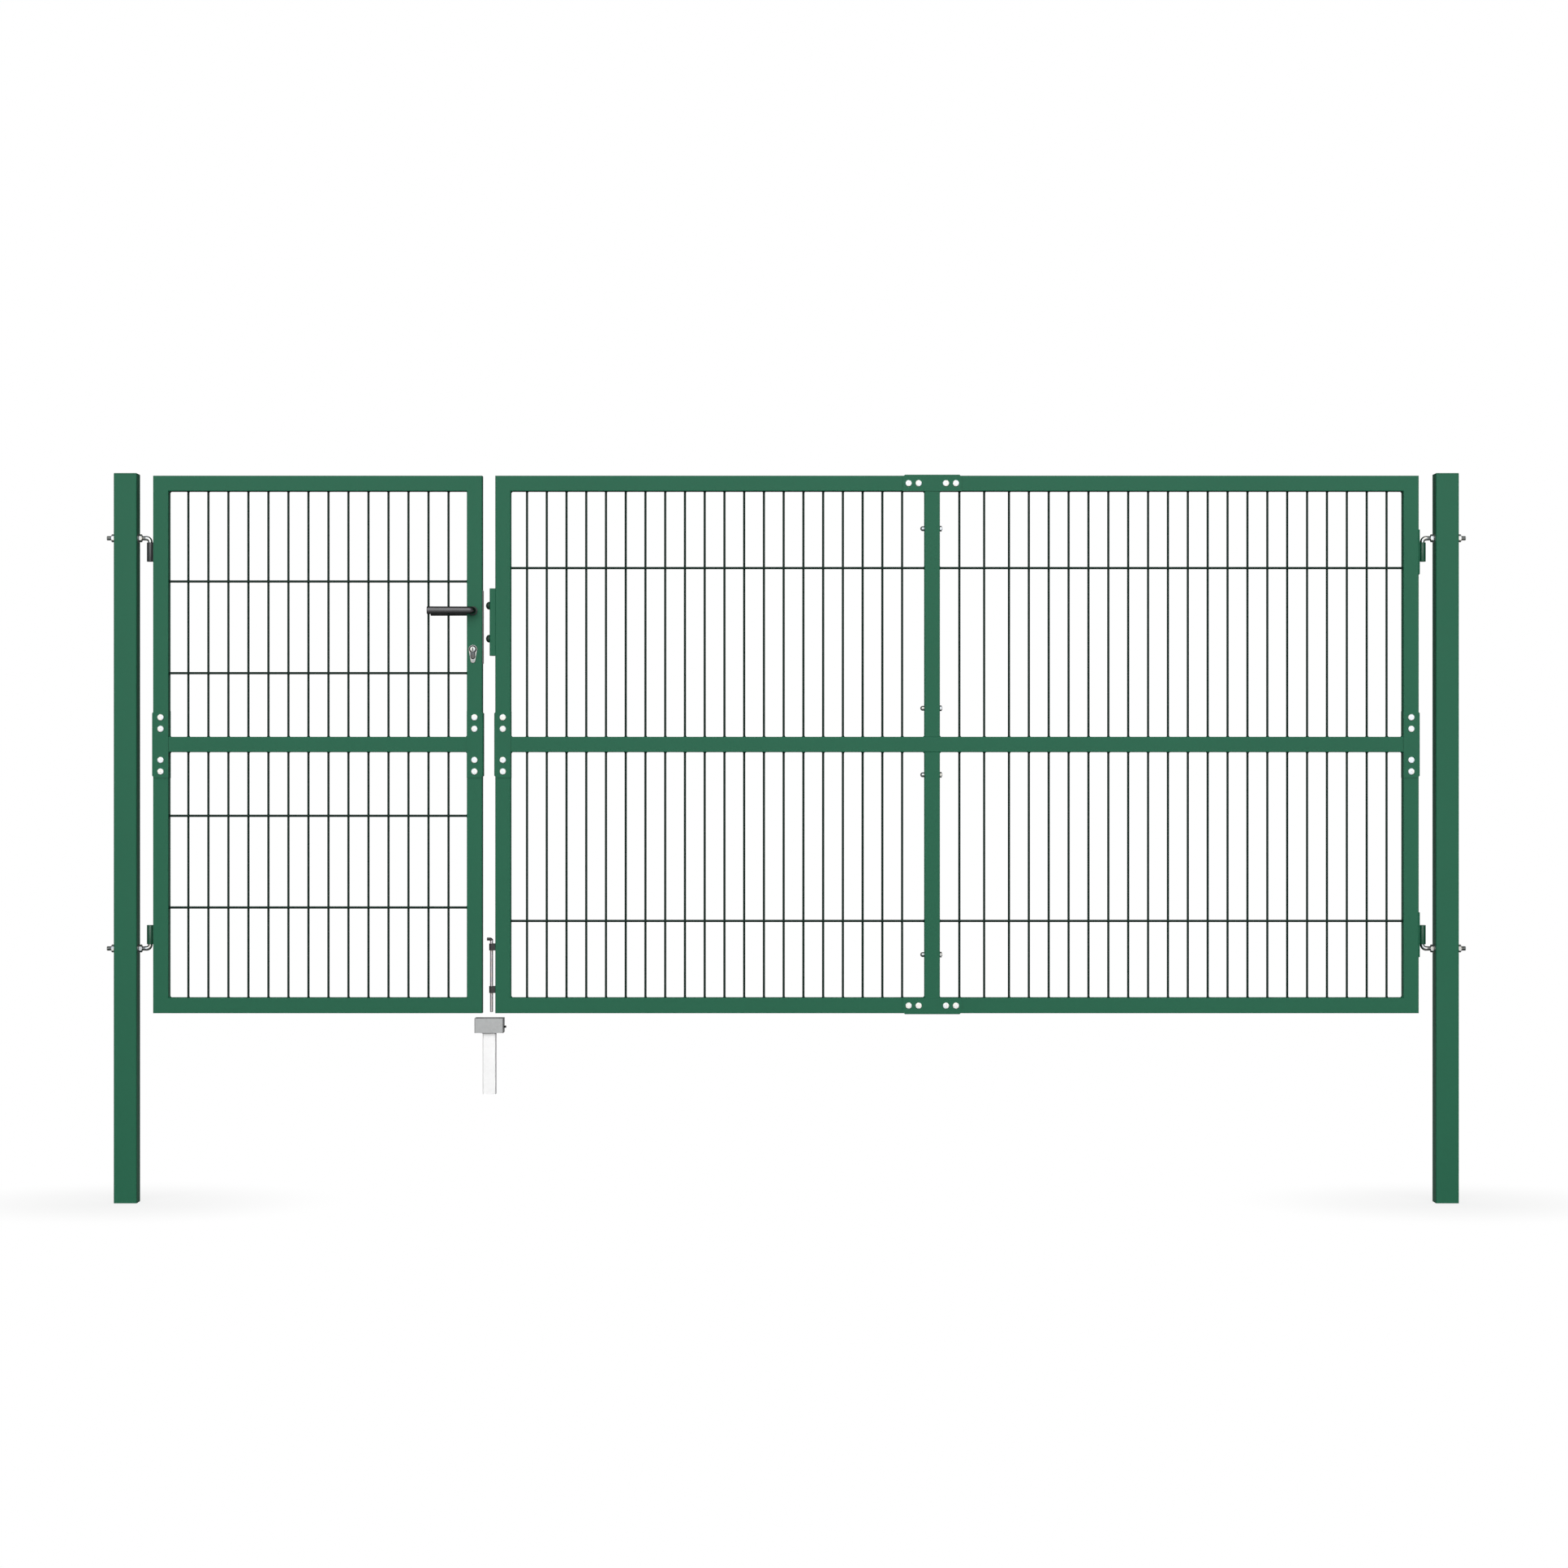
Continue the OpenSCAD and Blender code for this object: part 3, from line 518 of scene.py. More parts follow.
class Graph:
    """Nodes of one material or world, made by expressions."""

    def __init__(self, tree: bpy.types.NodeTree) -> None:
        """Starts from an empty node tree."""
        self.tree = tree
        tree.nodes.clear()

    def node(self, kind: str, sockets: Mapping[Any, Any] | None = None,
             **settings: Any) -> bpy.types.Node:
        """Adds a node.

        Args:
            kind: The node's type, as Blender names it after ShaderNode.
            sockets: A value, an expression or a node for each input, by its name or number.
            settings: Properties that are set first.

        Returns:
            The node.
        """
        made = self.tree.nodes.new("ShaderNode" + kind)
        for name, value in settings.items():
            setattr(made, name, value)
        for name, value in (sockets or {}).items():
            if isinstance(value, bpy.types.Node):
                self.tree.links.new(value.outputs[0], made.inputs[name])
            elif isinstance(value, Term):
                self.tree.links.new(value.socket, made.inputs[name])
            elif isinstance(value, tuple) and made.inputs[name].type == "RGBA":
                made.inputs[name].default_value = (*value, 1.0)
            else:
                made.inputs[name].default_value = value
        return made

    def value(self, kind: str, sockets: Mapping[Any, Any], output: Any = 0,
              **settings: Any) -> "Value":
        """Adds a node and gives one of its outputs as a number."""
        return Value(self, self.node(kind, sockets, **settings).outputs[output])

    def places(self) -> "Tint":
        """Object coordinates, which are metres in the gate's own frame."""
        return Tint(self, self.node("TexCoord").outputs["Object"])

    def noise(self, at: "Tint", per_metre: float, detail: float = 2.0) -> "Value":
        """Soft noise about 0.5, with this many grains to the metre."""
        return self.value("TexNoise", {"Vector": at, "Scale": per_metre, "Detail": detail,
                                       "Roughness": 0.5}, noise_dimensions="3D")

    def ray(self, *kinds: str) -> "Value":
        """1 for rays of any of these kinds and 0 for others, from Light Path.

        Args:
            kinds: Light Path's names of the kinds.

        Returns:
            The share.
        """
        paths = self.node("LightPath")
        total = Value(self, paths.outputs[kinds[0]])
        for kind in kinds[1:]:
            total += Value(self, paths.outputs[kind])
        return total.clamp(0.0, 1.0)

    def tint(self, colour: tuple[float, float, float]) -> "Tint":
        """One plain colour as an expression.

        Args:
            colour: Its red, green and blue.

        Returns:
            The colour.
        """
        made = self.node("RGB")
        made.outputs[0].default_value = (*colour, 1.0)
        return Tint(self, made.outputs[0])

    def bump(self, height: "Value", depth: float) -> "Term":
        """Normals of a height between 0 and 1 that stands for this depth."""
        made = self.node("Bump", {"Height": height, "Distance": depth, "Strength": 1.0})
        return Term(self, made.outputs["Normal"])

    def finish(self, kind: str, sockets: Mapping[Any, Any], output: str) -> None:
        """Adds a shader and the output node that it feeds."""
        self.node(output, {"Surface": self.node(kind, sockets)})


@dataclass(frozen=True)
class Term:
    """Output socket of a node, for use in expressions."""

    graph: Graph
    socket: bpy.types.NodeSocket


def operator(kind: str, swapped: bool = False) -> Callable[["Value", Any], "Value"]:
    """Makes the method of an arithmetic operator.

    Args:
        kind: Math node's operation.
        swapped: True if the value is the operation's second term.

    Returns:
        The method.
    """
    def method(value: "Value", other: Any) -> "Value":
        """Adds the Math node."""
        return value.calculate(kind, *((other, value) if swapped else (value, other)))
    return method


class Value(Term):
    """A number that may vary over the surface. Arithmetic on it adds Math nodes."""

    def calculate(self, operation: str, *terms: Any) -> "Value":
        """Adds a Math node over these terms."""
        return self.graph.value("Math", dict(enumerate(terms)), operation=operation)

    __add__ = __radd__ = operator("ADD")
    __sub__, __rsub__ = operator("SUBTRACT"), operator("SUBTRACT", True)
    __mul__ = __rmul__ = operator("MULTIPLY")
    __pow__ = operator("POWER")

    def clamp(self, low: float, high: float) -> "Value":
        """The value, kept between two limits."""
        return self.calculate("MINIMUM", self.calculate("MAXIMUM", self, low), high)

    def smooth(self, low: float, high: float) -> "Value":
        """0 below low, 1 above high, and a smooth step between.

        Args:
            low: Where the step starts.
            high: Where it ends.

        Returns:
            The step, between 0 and 1.
        """
        return self.graph.value("MapRange", {"Value": self, "From Min": low, "From Max": high,
                                             "To Min": 0.0, "To Max": 1.0},
                                interpolation_type="SMOOTHSTEP")

    def blend(self, first: Any, second: Any) -> "Tint":
        """First colour at 0 and second at 1."""
        made = self.graph.node("Mix", {0: self, 6: first, 7: second}, data_type="RGBA")
        return Tint(self.graph, made.outputs[2])


class Tint(Term):
    """A colour or a vector. Arithmetic on it adds Vector Math nodes."""

    def __mul__(self, other: Any) -> "Tint":
        """Scaled by a number, or channel by channel by another tint.

        Args:
            other: A number, a value or a tint.

        Returns:
            The product.
        """
        kind, socket = ("MULTIPLY", 1) if isinstance(other, Tint) else ("SCALE", "Scale")
        made = self.graph.node("VectorMath", {0: self, socket: other}, operation=kind)
        return Tint(self.graph, made.outputs[0])

    def part(self, axis: int) -> Value:
        """One of the three components."""
        return self.graph.value("SeparateXYZ", {0: self}, axis)


# ---- Finishes ----


@dataclass(frozen=True)
class Layer:
    """Pattern between 0 and 1 over a surface, and how much it changes the surface.

    Tone scales the colour, gloss is added to the roughness, and depth is that of a bump.
    """

    per_metre: float
    tone: float = 0.0
    gloss: float = 0.0
    depth: float = 0.0
    detail: float = 2.0
    cells: bool = False

    def pattern(self, graph: Graph, at: Tint) -> Value:
        """Soft noise, or cells that each have a random number.

        Args:
            graph: The material's nodes.
            at: Object coordinates.

        Returns:
            The pattern, between 0 and 1.
        """
        if not self.cells:
            return graph.noise(at, self.per_metre, self.detail)
        cells = graph.node("TexVoronoi", {"Vector": at, "Scale": self.per_metre,
                                          "Randomness": 1.0}, feature="F1")
        return Tint(graph, cells.outputs["Color"]).part(0)


@dataclass(frozen=True)
class Finish:
    """A surface finish. Its material is made once, when the first piece asks for it."""

    slot: Slot
    colour: tuple[float, float, float]
    roughness: float = 0.45
    metallic: float = 0.0
    specular: float = 0.5
    name: str = ""
    level: float = 1.0
    layers: tuple[Layer, ...] = ()

    def surface(self, graph: Graph, at: Tint) -> dict[str, Any]:
        """Sockets of the shader that its layers change.

        The tone is level + sum of tone (p - 1/2) over the patterns p, and the roughness likewise.

        Args:
            graph: The material's nodes.
            at: Object coordinates.

        Returns:
            Expressions for the shader's inputs, by their names.
        """
        tone, roughness, sockets = self.level, self.roughness, {}
        for layer in self.layers:
            pattern = layer.pattern(graph, at)
            if layer.tone:
                tone += layer.tone * (pattern - 0.5)
            if layer.gloss:
                roughness += layer.gloss * (pattern - 0.5)
            if layer.depth:
                sockets["Normal"] = graph.bump(pattern, layer.depth)
        return sockets | {"Base Color": graph.tint(self.colour) * tone, "Roughness": roughness}

    @cached_property
    def material(self) -> bpy.types.Material:
        """The finish as a Blender material.

        Returns:
            The material.
        """
        made = bpy.data.materials.new(self.name or self.slot.value)
        made.use_nodes = True
        graph = Graph(made.node_tree)
        sockets = {"Metallic": self.metallic, "Specular IOR Level": self.specular}
        sockets.update(self.surface(graph, graph.places()))
        graph.finish("BsdfPrincipled", sockets, "OutputMaterial")
        made.diffuse_color = (*self.colour, 1.0)
        return made


@dataclass(frozen=True)
class PowderCoat(Finish):
    """Baked powder coat: tone uneven over a hand's width, gloss over a finger's, and peel."""

    layers: tuple[Layer, ...] = (
        Layer(3.0, tone=0.10), Layer(55.0, tone=0.06, gloss=0.10),
        Layer(2600.0, tone=0.05, detail=0.0), Layer(520.0, depth=0.012 * MM, detail=1.0))


@dataclass(frozen=True)
class GreyTopCoat(PowderCoat):
    """Powder coat that turns dark grey above a height."""

    top_grey: tuple[float, float, float] = (0.028, 0.032, 0.034)
    grey_above: float = 1.4
    grey_edge: float = 10.0 * MM

    def surface(self, graph: Graph, at: Tint) -> dict[str, Any]:
        """The coat's own sockets, with its colour changed to dark grey above the height.

        Args:
            graph: The material's nodes.
            at: Object coordinates.

        Returns:
            Expressions for the shader's inputs, by their names.
        """
        sockets = super().surface(graph, at)
        share = at.part(2).smooth(self.grey_above, self.grey_above + self.grey_edge)
        sockets["Base Color"] = share.blend(sockets["Base Color"], self.top_grey)
        return sockets


@dataclass(frozen=True)
class ZincPlate(Finish):
    """Bright zinc plate: fine turning marks under a faint blue and straw bloom."""

    level: float = 1.18
    layers: tuple[Layer, ...] = (
        Layer(1500.0, tone=0.12, gloss=0.16, depth=0.006 * MM, detail=1.0),)
    bloom_cool: tuple[float, float, float] = (0.70, 0.76, 0.82)
    bloom_warm: tuple[float, float, float] = (0.84, 0.82, 0.76)
    bloom_per_metre: float = 90.0
    bloom_edge: tuple[float, float] = (0.30, 0.70)
    bloom_gloss: float = 0.10

    def surface(self, graph: Graph, at: Tint) -> dict[str, Any]:
        """The plate's own sockets, with two tints that blend over a few millimetres.

        Args:
            graph: The material's nodes.
            at: Object coordinates.

        Returns:
            Expressions for the shader's inputs, by their names.
        """
        sockets = super().surface(graph, at)
        bloom = graph.noise(at, self.bloom_per_metre).smooth(*self.bloom_edge)
        sockets["Base Color"] *= bloom.blend(self.bloom_cool, self.bloom_warm)
        sockets["Roughness"] += self.bloom_gloss * (bloom - 0.5)
        return sockets


def crystals(tone: float) -> tuple[Layer, ...]:
    """Layers of hot-dip zinc: crystals whose tones spread this far, with dull spots."""
    return (Layer(150.0, tone=tone, gloss=0.16, depth=0.004 * MM, cells=True),
            Layer(16.0, tone=0.10), Layer(60.0, tone=0.05))


@dataclass(frozen=True)
class Galvanised(Finish):
    """Hot-dip zinc: flat crystals a few millimetres wide, each with its own tone and gloss."""

    layers: tuple[Layer, ...] = crystals(0.14)


@dataclass(frozen=True)
class Moulded(Finish):
    """Moulded plastic or rubber: a little dust in its tone, and a fine even grain."""

    layers: tuple[Layer, ...] = (
        Layer(35.0, tone=0.20), Layer(1100.0, gloss=0.12, depth=0.010 * MM, detail=1.0))


GREEN_COAT = PowderCoat(Slot.GREEN_PAINT, (0.016, 0.136, 0.072), roughness=0.42, specular=0.15)
# Hinge barrels get darker copies of the green coat, as painted shade of their round sides; the
# narrow leaf's coat also turns dark grey above a height.
SHADED_BARREL_COAT = PowderCoat(Slot.GREEN_PAINT, (0.007, 0.075, 0.038), roughness=0.34, specular=0.4,
                         name="barrel_coat")
SHADED_GREY_TOP_COAT = GreyTopCoat(Slot.GREEN_PAINT, (0.007, 0.075, 0.038), roughness=0.34, specular=0.5,
                            name="part_bare_coat")
WIRE_COAT = PowderCoat(Slot.MESH_PAINT, (0.004, 0.020, 0.013), roughness=0.40, specular=0.15)
CAP_PLASTIC = Moulded(Slot.GREEN_PLASTIC, (0.012, 0.122, 0.063), roughness=0.48, specular=0.15)
BRIGHT_ZINC = ZincPlate(Slot.BRIGHT_ZINC, (0.40, 0.40, 0.40), roughness=0.30, metallic=1.0)
HEAD_ZINC = ZincPlate(Slot.BRIGHT_ZINC, (0.97, 0.97, 0.97), roughness=0.42, metallic=0.15,
                      name="head_zinc")
FACE_STEEL = ZincPlate(Slot.BRIGHT_ZINC, (0.12, 0.11, 0.11), roughness=0.40, metallic=1.0,
                       name="face_steel")
ROD_ZINC = ZincPlate(Slot.BRIGHT_ZINC, (0.47, 0.41, 0.42), roughness=0.34, metallic=0.6,
                     name="rod_zinc")
BOX_ZINC = Galvanised(Slot.GALVANISED, (0.39, 0.40, 0.40), roughness=0.46, metallic=0.35)
LEG_ZINC = Galvanised(Slot.GALVANISED, (0.98, 0.98, 0.98), roughness=0.42, metallic=0.15,
                      layers=crystals(0.05), name="leg_zinc")
NICKEL = ZincPlate(Slot.NICKEL, (0.36, 0.36, 0.345), roughness=0.34, metallic=1.0, name="nickel")
# Nickel darkened as painted shade, for the lock cylinder's body round its bright plug.
SHADED_NICKEL = ZincPlate(Slot.NICKEL, (0.07, 0.07, 0.07), roughness=0.34, metallic=1.0,
                        name="dark_nickel")
LEVER_BLACK = Moulded(Slot.BLACK_PLASTIC, (0.060, 0.060, 0.062), roughness=0.26, metallic=1.0,
                      name="lever_black")
BLACK_PLASTIC = Moulded(Slot.BLACK_PLASTIC, (0.012, 0.012, 0.012), roughness=0.30, specular=0.35)
DARK_RUBBER = Moulded(Slot.BUFFER_RUBBER, (0.010, 0.026, 0.018), roughness=0.55)
# Black for thin sheets that stand for shade: painted shade in the keyway slots, round the plug and
# in the gap round the cylinder.
GAP_SHADE_BLACK = Moulded(Slot.NICKEL, (0.012, 0.012, 0.012), roughness=0.60, name="keyway")


# ---- Sub-assemblies ----


def put(name: str, data: Any) -> bpy.types.Object:
    """Makes an object of a mesh, lamp or camera and puts it into the scene.

    Args:
        name: Name of the object.
        data: The mesh, lamp or camera.

    Returns:
        The object.
    """
    made = bpy.data.objects.new(name, data)
    bpy.context.scene.collection.objects.link(made)
    return made


class SubAssembly:
    """Part of the gate that rides on one body."""

    body: Body

    def dress(self, finish: Finish, *nodes: str) -> None:
        """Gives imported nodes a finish, without touching their meshes.

        Args:
            finish: The finish.
            nodes: Names of the nodes.
        """
        for node in nodes:
            mesh = frame["nodes"][node].data
            mesh.materials.clear()
            mesh.materials.append(finish.material)
            LOG.info("%s: finished as %s", node, finish.material.name)

    def add(self, name: str, shape: Shape, finish: Finish, *replaced: str,
            body: Body | None = None) -> bpy.types.Object:
        """Makes a piece from a shape.

        Args:
            name: Name of the piece.
            shape: Its points and faces, in the gate's frame.
            finish: Its finish.
            replaced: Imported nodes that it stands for.
            body: Body that it rides on, or this sub-assembly's own.

        Returns:
            The piece.
        """
        mesh = bpy.data.meshes.new(name)
        faces = [face for group in shape.faces for face in group.tolist()]
        mesh.from_pydata(shape.points.tolist(), [], faces)
        mesh.shade_smooth()
        mesh.set_sharp_from_angle(angle=CREASE)
        mesh.materials.append(finish.material)
        piece = put(name, mesh)
        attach(piece, (body or self.body).value)
        if replaced:
            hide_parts(*replaced)
        LOG.info("%s: %d faces on %s", name, len(faces), (body or self.body).value)
        return piece


@dataclass
class HookBolt:
    """Threaded rod through a post whose end is bent into a hinge pin."""

    rod_r: float = 6.0 * MM
    bend_r: float = 10.0 * MM
    pin_l: float = 50.0 * MM
    pitch: float = 1.75 * MM
    depth: float = 0.75 * MM
    runout: float = 5.25 * MM
    steps_per_turn: int = 7
    chamfer: float = 1.2 * MM
    outer_thread: float = 26.0 * MM
    inner_thread: float = 18.0 * MM
    sides: int = 24

    def rings(self, start_x: float, axis_x: float, z: float, turn: int) -> np.ndarray:
        """Rings along the rod, its quarter-circle bend and its pin.

        The thread takes depth * |2 frac(s / pitch - a / turn) - 1| off the radius.

        Args:
            start_x: The rod's outer end.
            axis_x: The hinge axis.
            z: Height of the rod.
            turn: 1 where the pin points up and -1 where it points down.

        Returns:
            Points, (rings, sides, 3).
        """
        side = math.copysign(1.0, axis_x - start_x)
        straight_l = abs(axis_x - start_x) - self.bend_r
        step = self.pitch / self.steps_per_turn
        straight = chain(np.arange(0.0, self.outer_thread, step),
                         np.arange(straight_l - self.inner_thread, straight_l, step))
        sine, cosine = quarter(14)
        pin = chain(np.linspace(0.2, 1.0, 3) * (self.pin_l - self.chamfer), self.pin_l)
        along = chain(straight, straight_l + self.bend_r * sine,
                      np.full(pin.shape, straight_l + self.bend_r))
        rise = chain(np.zeros(straight.shape), self.bend_r * (1.0 - cosine),
                     self.bend_r + pin)
        path = columns(start_x + side * along, np.zeros(along.shape), z + turn * rise)
        turns = straight[:, None] / self.pitch - angles(self.sides) / TURN
        wave = np.abs(2.0 * np.mod(turns, 1.0) - 1.0)
        fading = np.clip((straight_l - straight) / self.runout, 0.0, 1.0)[:, None]
        radii = np.full((len(path), self.sides), self.rod_r)
        threaded = radii[:len(straight)]
        threaded -= self.depth * wave * fading
        np.minimum(threaded, self.rod_r - self.chamfer + straight[:, None], out=threaded)
        radii[-1] -= self.chamfer
        return sweep(path, Y_AXIS, circles(radii, self.sides))


@dataclass
class FlangeNut:
    """Hexagon nut with chamfered corners on a round flange."""

    across_flats: float = 18.0 * MM
    height: float = 8.5 * MM
    flange_r: float = 12.0 * MM
    flange_t: float = 1.5 * MM
    flange_edge: float = 0.7 * MM
    sides: int = 48

    def rings(self) -> np.ndarray:
        """Rings upwards from the flange's underside.

        Above the flange the radius is the smaller of the hexagon and a 30 degree cone.

        Returns:
            Points, (rings, sides, 3).
        """
        top = self.flange_t + self.height
        body_z = np.array([self.flange_t + 0.9 * MM, top - 1.4 * MM, top - 0.9 * MM,
                           top - 0.4 * MM, top])
        body = chamfered(self.across_flats, top - body_z, self.sides)
        flange_z = np.array([0.0, self.flange_t * 0.6, self.flange_t])
        flange_r = np.array([self.flange_r, self.flange_r, self.flange_r - self.flange_edge])
        flange = np.broadcast_to(flange_r[:, None], (3, self.sides))
        return rounds(chain(flange_z, body_z), chain(flange, body), self.sides)


@dataclass
class Posts(SubAssembly):
    """Both posts with their caps, hinge bolts and nuts."""

    body: Body = Body.POSTS
    post_s: float = 60.0 * MM
    corner_r: float = 3.0 * MM
    cap_t: float = 4.0 * MM
    plug_inset: float = 2.3 * MM
    plug_l: float = 25.0 * MM
    cap_fillet: float = 1.4 * MM
    bolt: HookBolt = field(default_factory=HookBolt)
    nut: FlangeNut = field(default_factory=FlangeNut)

    def build(self) -> None:
        """Paints the posts and adds caps, bolts and nuts."""
        self.dress(GREEN_COAT, "left_post", "right_post", "post_foot_plates")
        self.add("post_caps_moulded", self.caps(), CAP_PLASTIC, "post_caps")
        for side in ("left", "right"):
            self.add(f"{side}_hook_bolts", self.hook_bolts(side), BRIGHT_ZINC,
                     f"{side}_hinge_hooks")
        self.add("hook_bolt_nuts", self.nuts(), BRIGHT_ZINC, "hinge_nuts")

    def post_middles(self) -> tuple[float, float]:
        """Both posts' places along x."""
        low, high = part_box("post_caps")
        return low.x + self.post_s / 2.0, high.x - self.post_s / 2.0

    def caps(self) -> Shape:
        """Flat caps with a rounded upper edge and a plug that goes into the post.

        Returns:
            Both caps.
        """
        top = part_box("post_caps")[1].z
        below, inside = round_edge(self.cap_fillet, 5)
        seat = top - self.cap_t
        heights = chain(seat - self.plug_l, seat, seat, top - below)
        insets = chain(self.plug_inset, self.plug_inset, 0.0, inside)
        outline = rounded_rectangle(self.post_s, self.post_s, self.corner_r)
        places = [[x, 0.0, 0.0] for x in self.post_middles()]
        return Facing.UP.skin(slab(outline, heights, insets), places)

    def hook_bolts(self, side: str) -> Shape:
        """The upper bolt of a post, whose pin points down, and the lower one, pointing up.

        Args:
            side: The post's side, left or right.

        Returns:
            Both bolts.
        """
        low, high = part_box(f"{side}_hinge_hooks")
        start_x = low.x if side == "left" else high.x
        axis_x = (high.x - self.bolt.rod_r) if side == "left" else (low.x + self.bolt.rod_r)
        ends = ((high.z - self.bolt.rod_r, -1), (low.z + self.bolt.rod_r, 1))
        return skin(np.stack([self.bolt.rings(start_x, axis_x, z, turn) for z, turn in ends]))

    def nuts(self) -> Shape:
        """A nut against each side of each post on each bolt.

        Returns:
            The eight nuts.
        """
        low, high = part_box("left_hinge_hooks")
        levels = (low.z + self.bolt.rod_r, high.z - self.bolt.rod_r)
        half, rings = self.post_s / 2.0, self.nut.rings()
        left, right = (facing.skin(rings, [[x + side * half, 0.0, z]
                                           for x in self.post_middles() for z in levels])
                       for facing, side in ((Facing.LEFT, -1), (Facing.RIGHT, 1)))
        return left + right


@dataclass
class GroundLock(SubAssembly):
    """Box in the ground between the leaves, which takes the drop bolt."""

    body: Body = Body.POSTS
    knob_r: float = 3.0 * MM
    bead_r: float = 2.2 * MM
    ripple: float = 0.12

    def build(self) -> None:
        """Finishes the box and its leg, and adds the knob and the weld between them."""
        self.dress(BOX_ZINC, "ground_lock_box")
        self.dress(LEG_ZINC, "ground_lock_leg")
        low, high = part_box("ground_lock_knob")
        knob = rounded_rod(high.x - low.x, self.knob_r, 1.2 * MM)
        place = (low.x, 0.0, (low.z + high.z) / 2.0)
        self.add("ground_lock_button", Facing.RIGHT.skin(knob, place), BLACK_PLASTIC,
                 "ground_lock_knob")
        self.add("ground_lock_weld", self.weld(), BOX_ZINC)

    def weld(self) -> Shape:
        """Bead round the leg's top, a rounded square loop with a rippled section.

        Each point is the loop's own plus r (cos a * outward + sin a * up).

        Returns:
            The bead.
        """
        low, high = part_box("ground_lock_leg")
        loop = rounded_rectangle(high.x - low.x, high.y - low.y, 3.0 * MM, 10)
        level = np.zeros(len(loop))
        out = at_heights(outward(loop)[:, None], level)
        loop = at_heights(loop[:, None], level)
        ripple = 1.0 + self.ripple * np.cos(np.arange(len(loop)) * QUARTER)
        reach = self.bead_r * ripple[:, None, None]
        turn = angles(8)[None, :, None]
        rings = loop + reach * (np.cos(turn) * out + np.sin(turn) * Z_AXIS)
        middle = ((low.x + high.x) / 2.0, 0.0, high.z)
        return Facing.UP.skin(rings, middle, looped=True)


@dataclass
class Bead:
    """Straight weld bead with a rippled section and tapered ends."""

    radius: float = 2.4 * MM
    ripple: float = 1.6 * MM
    ripple_share: float = 0.10
    rings_per_ripple: float = 4.0
    end_share: float = 0.15
    sides: int = 10

    def rings(self, length: float) -> np.ndarray:
        """Rings of a bead that starts at z = 0.

        The radius is r (1 + share cos(2 pi z / ripple)). It falls off at both ends as the square
        root of the distance from the end.

        Args:
            length: Length of the bead.

        Returns:
            Points, (rings, sides, 3).
        """
        steps = max(int(length / self.ripple * self.rings_per_ripple), 8)
        heights = np.linspace(0.0, length, steps)
        from_end = np.minimum(heights, length - heights)
        taper = np.clip(from_end / self.radius + self.end_share, 0.0, 1.0)
        wave = 1.0 + self.ripple_share * np.cos(TURN * heights / self.ripple)
        radii = self.radius * np.sqrt(taper) * wave
        return rounds(heights, radii, self.sides)


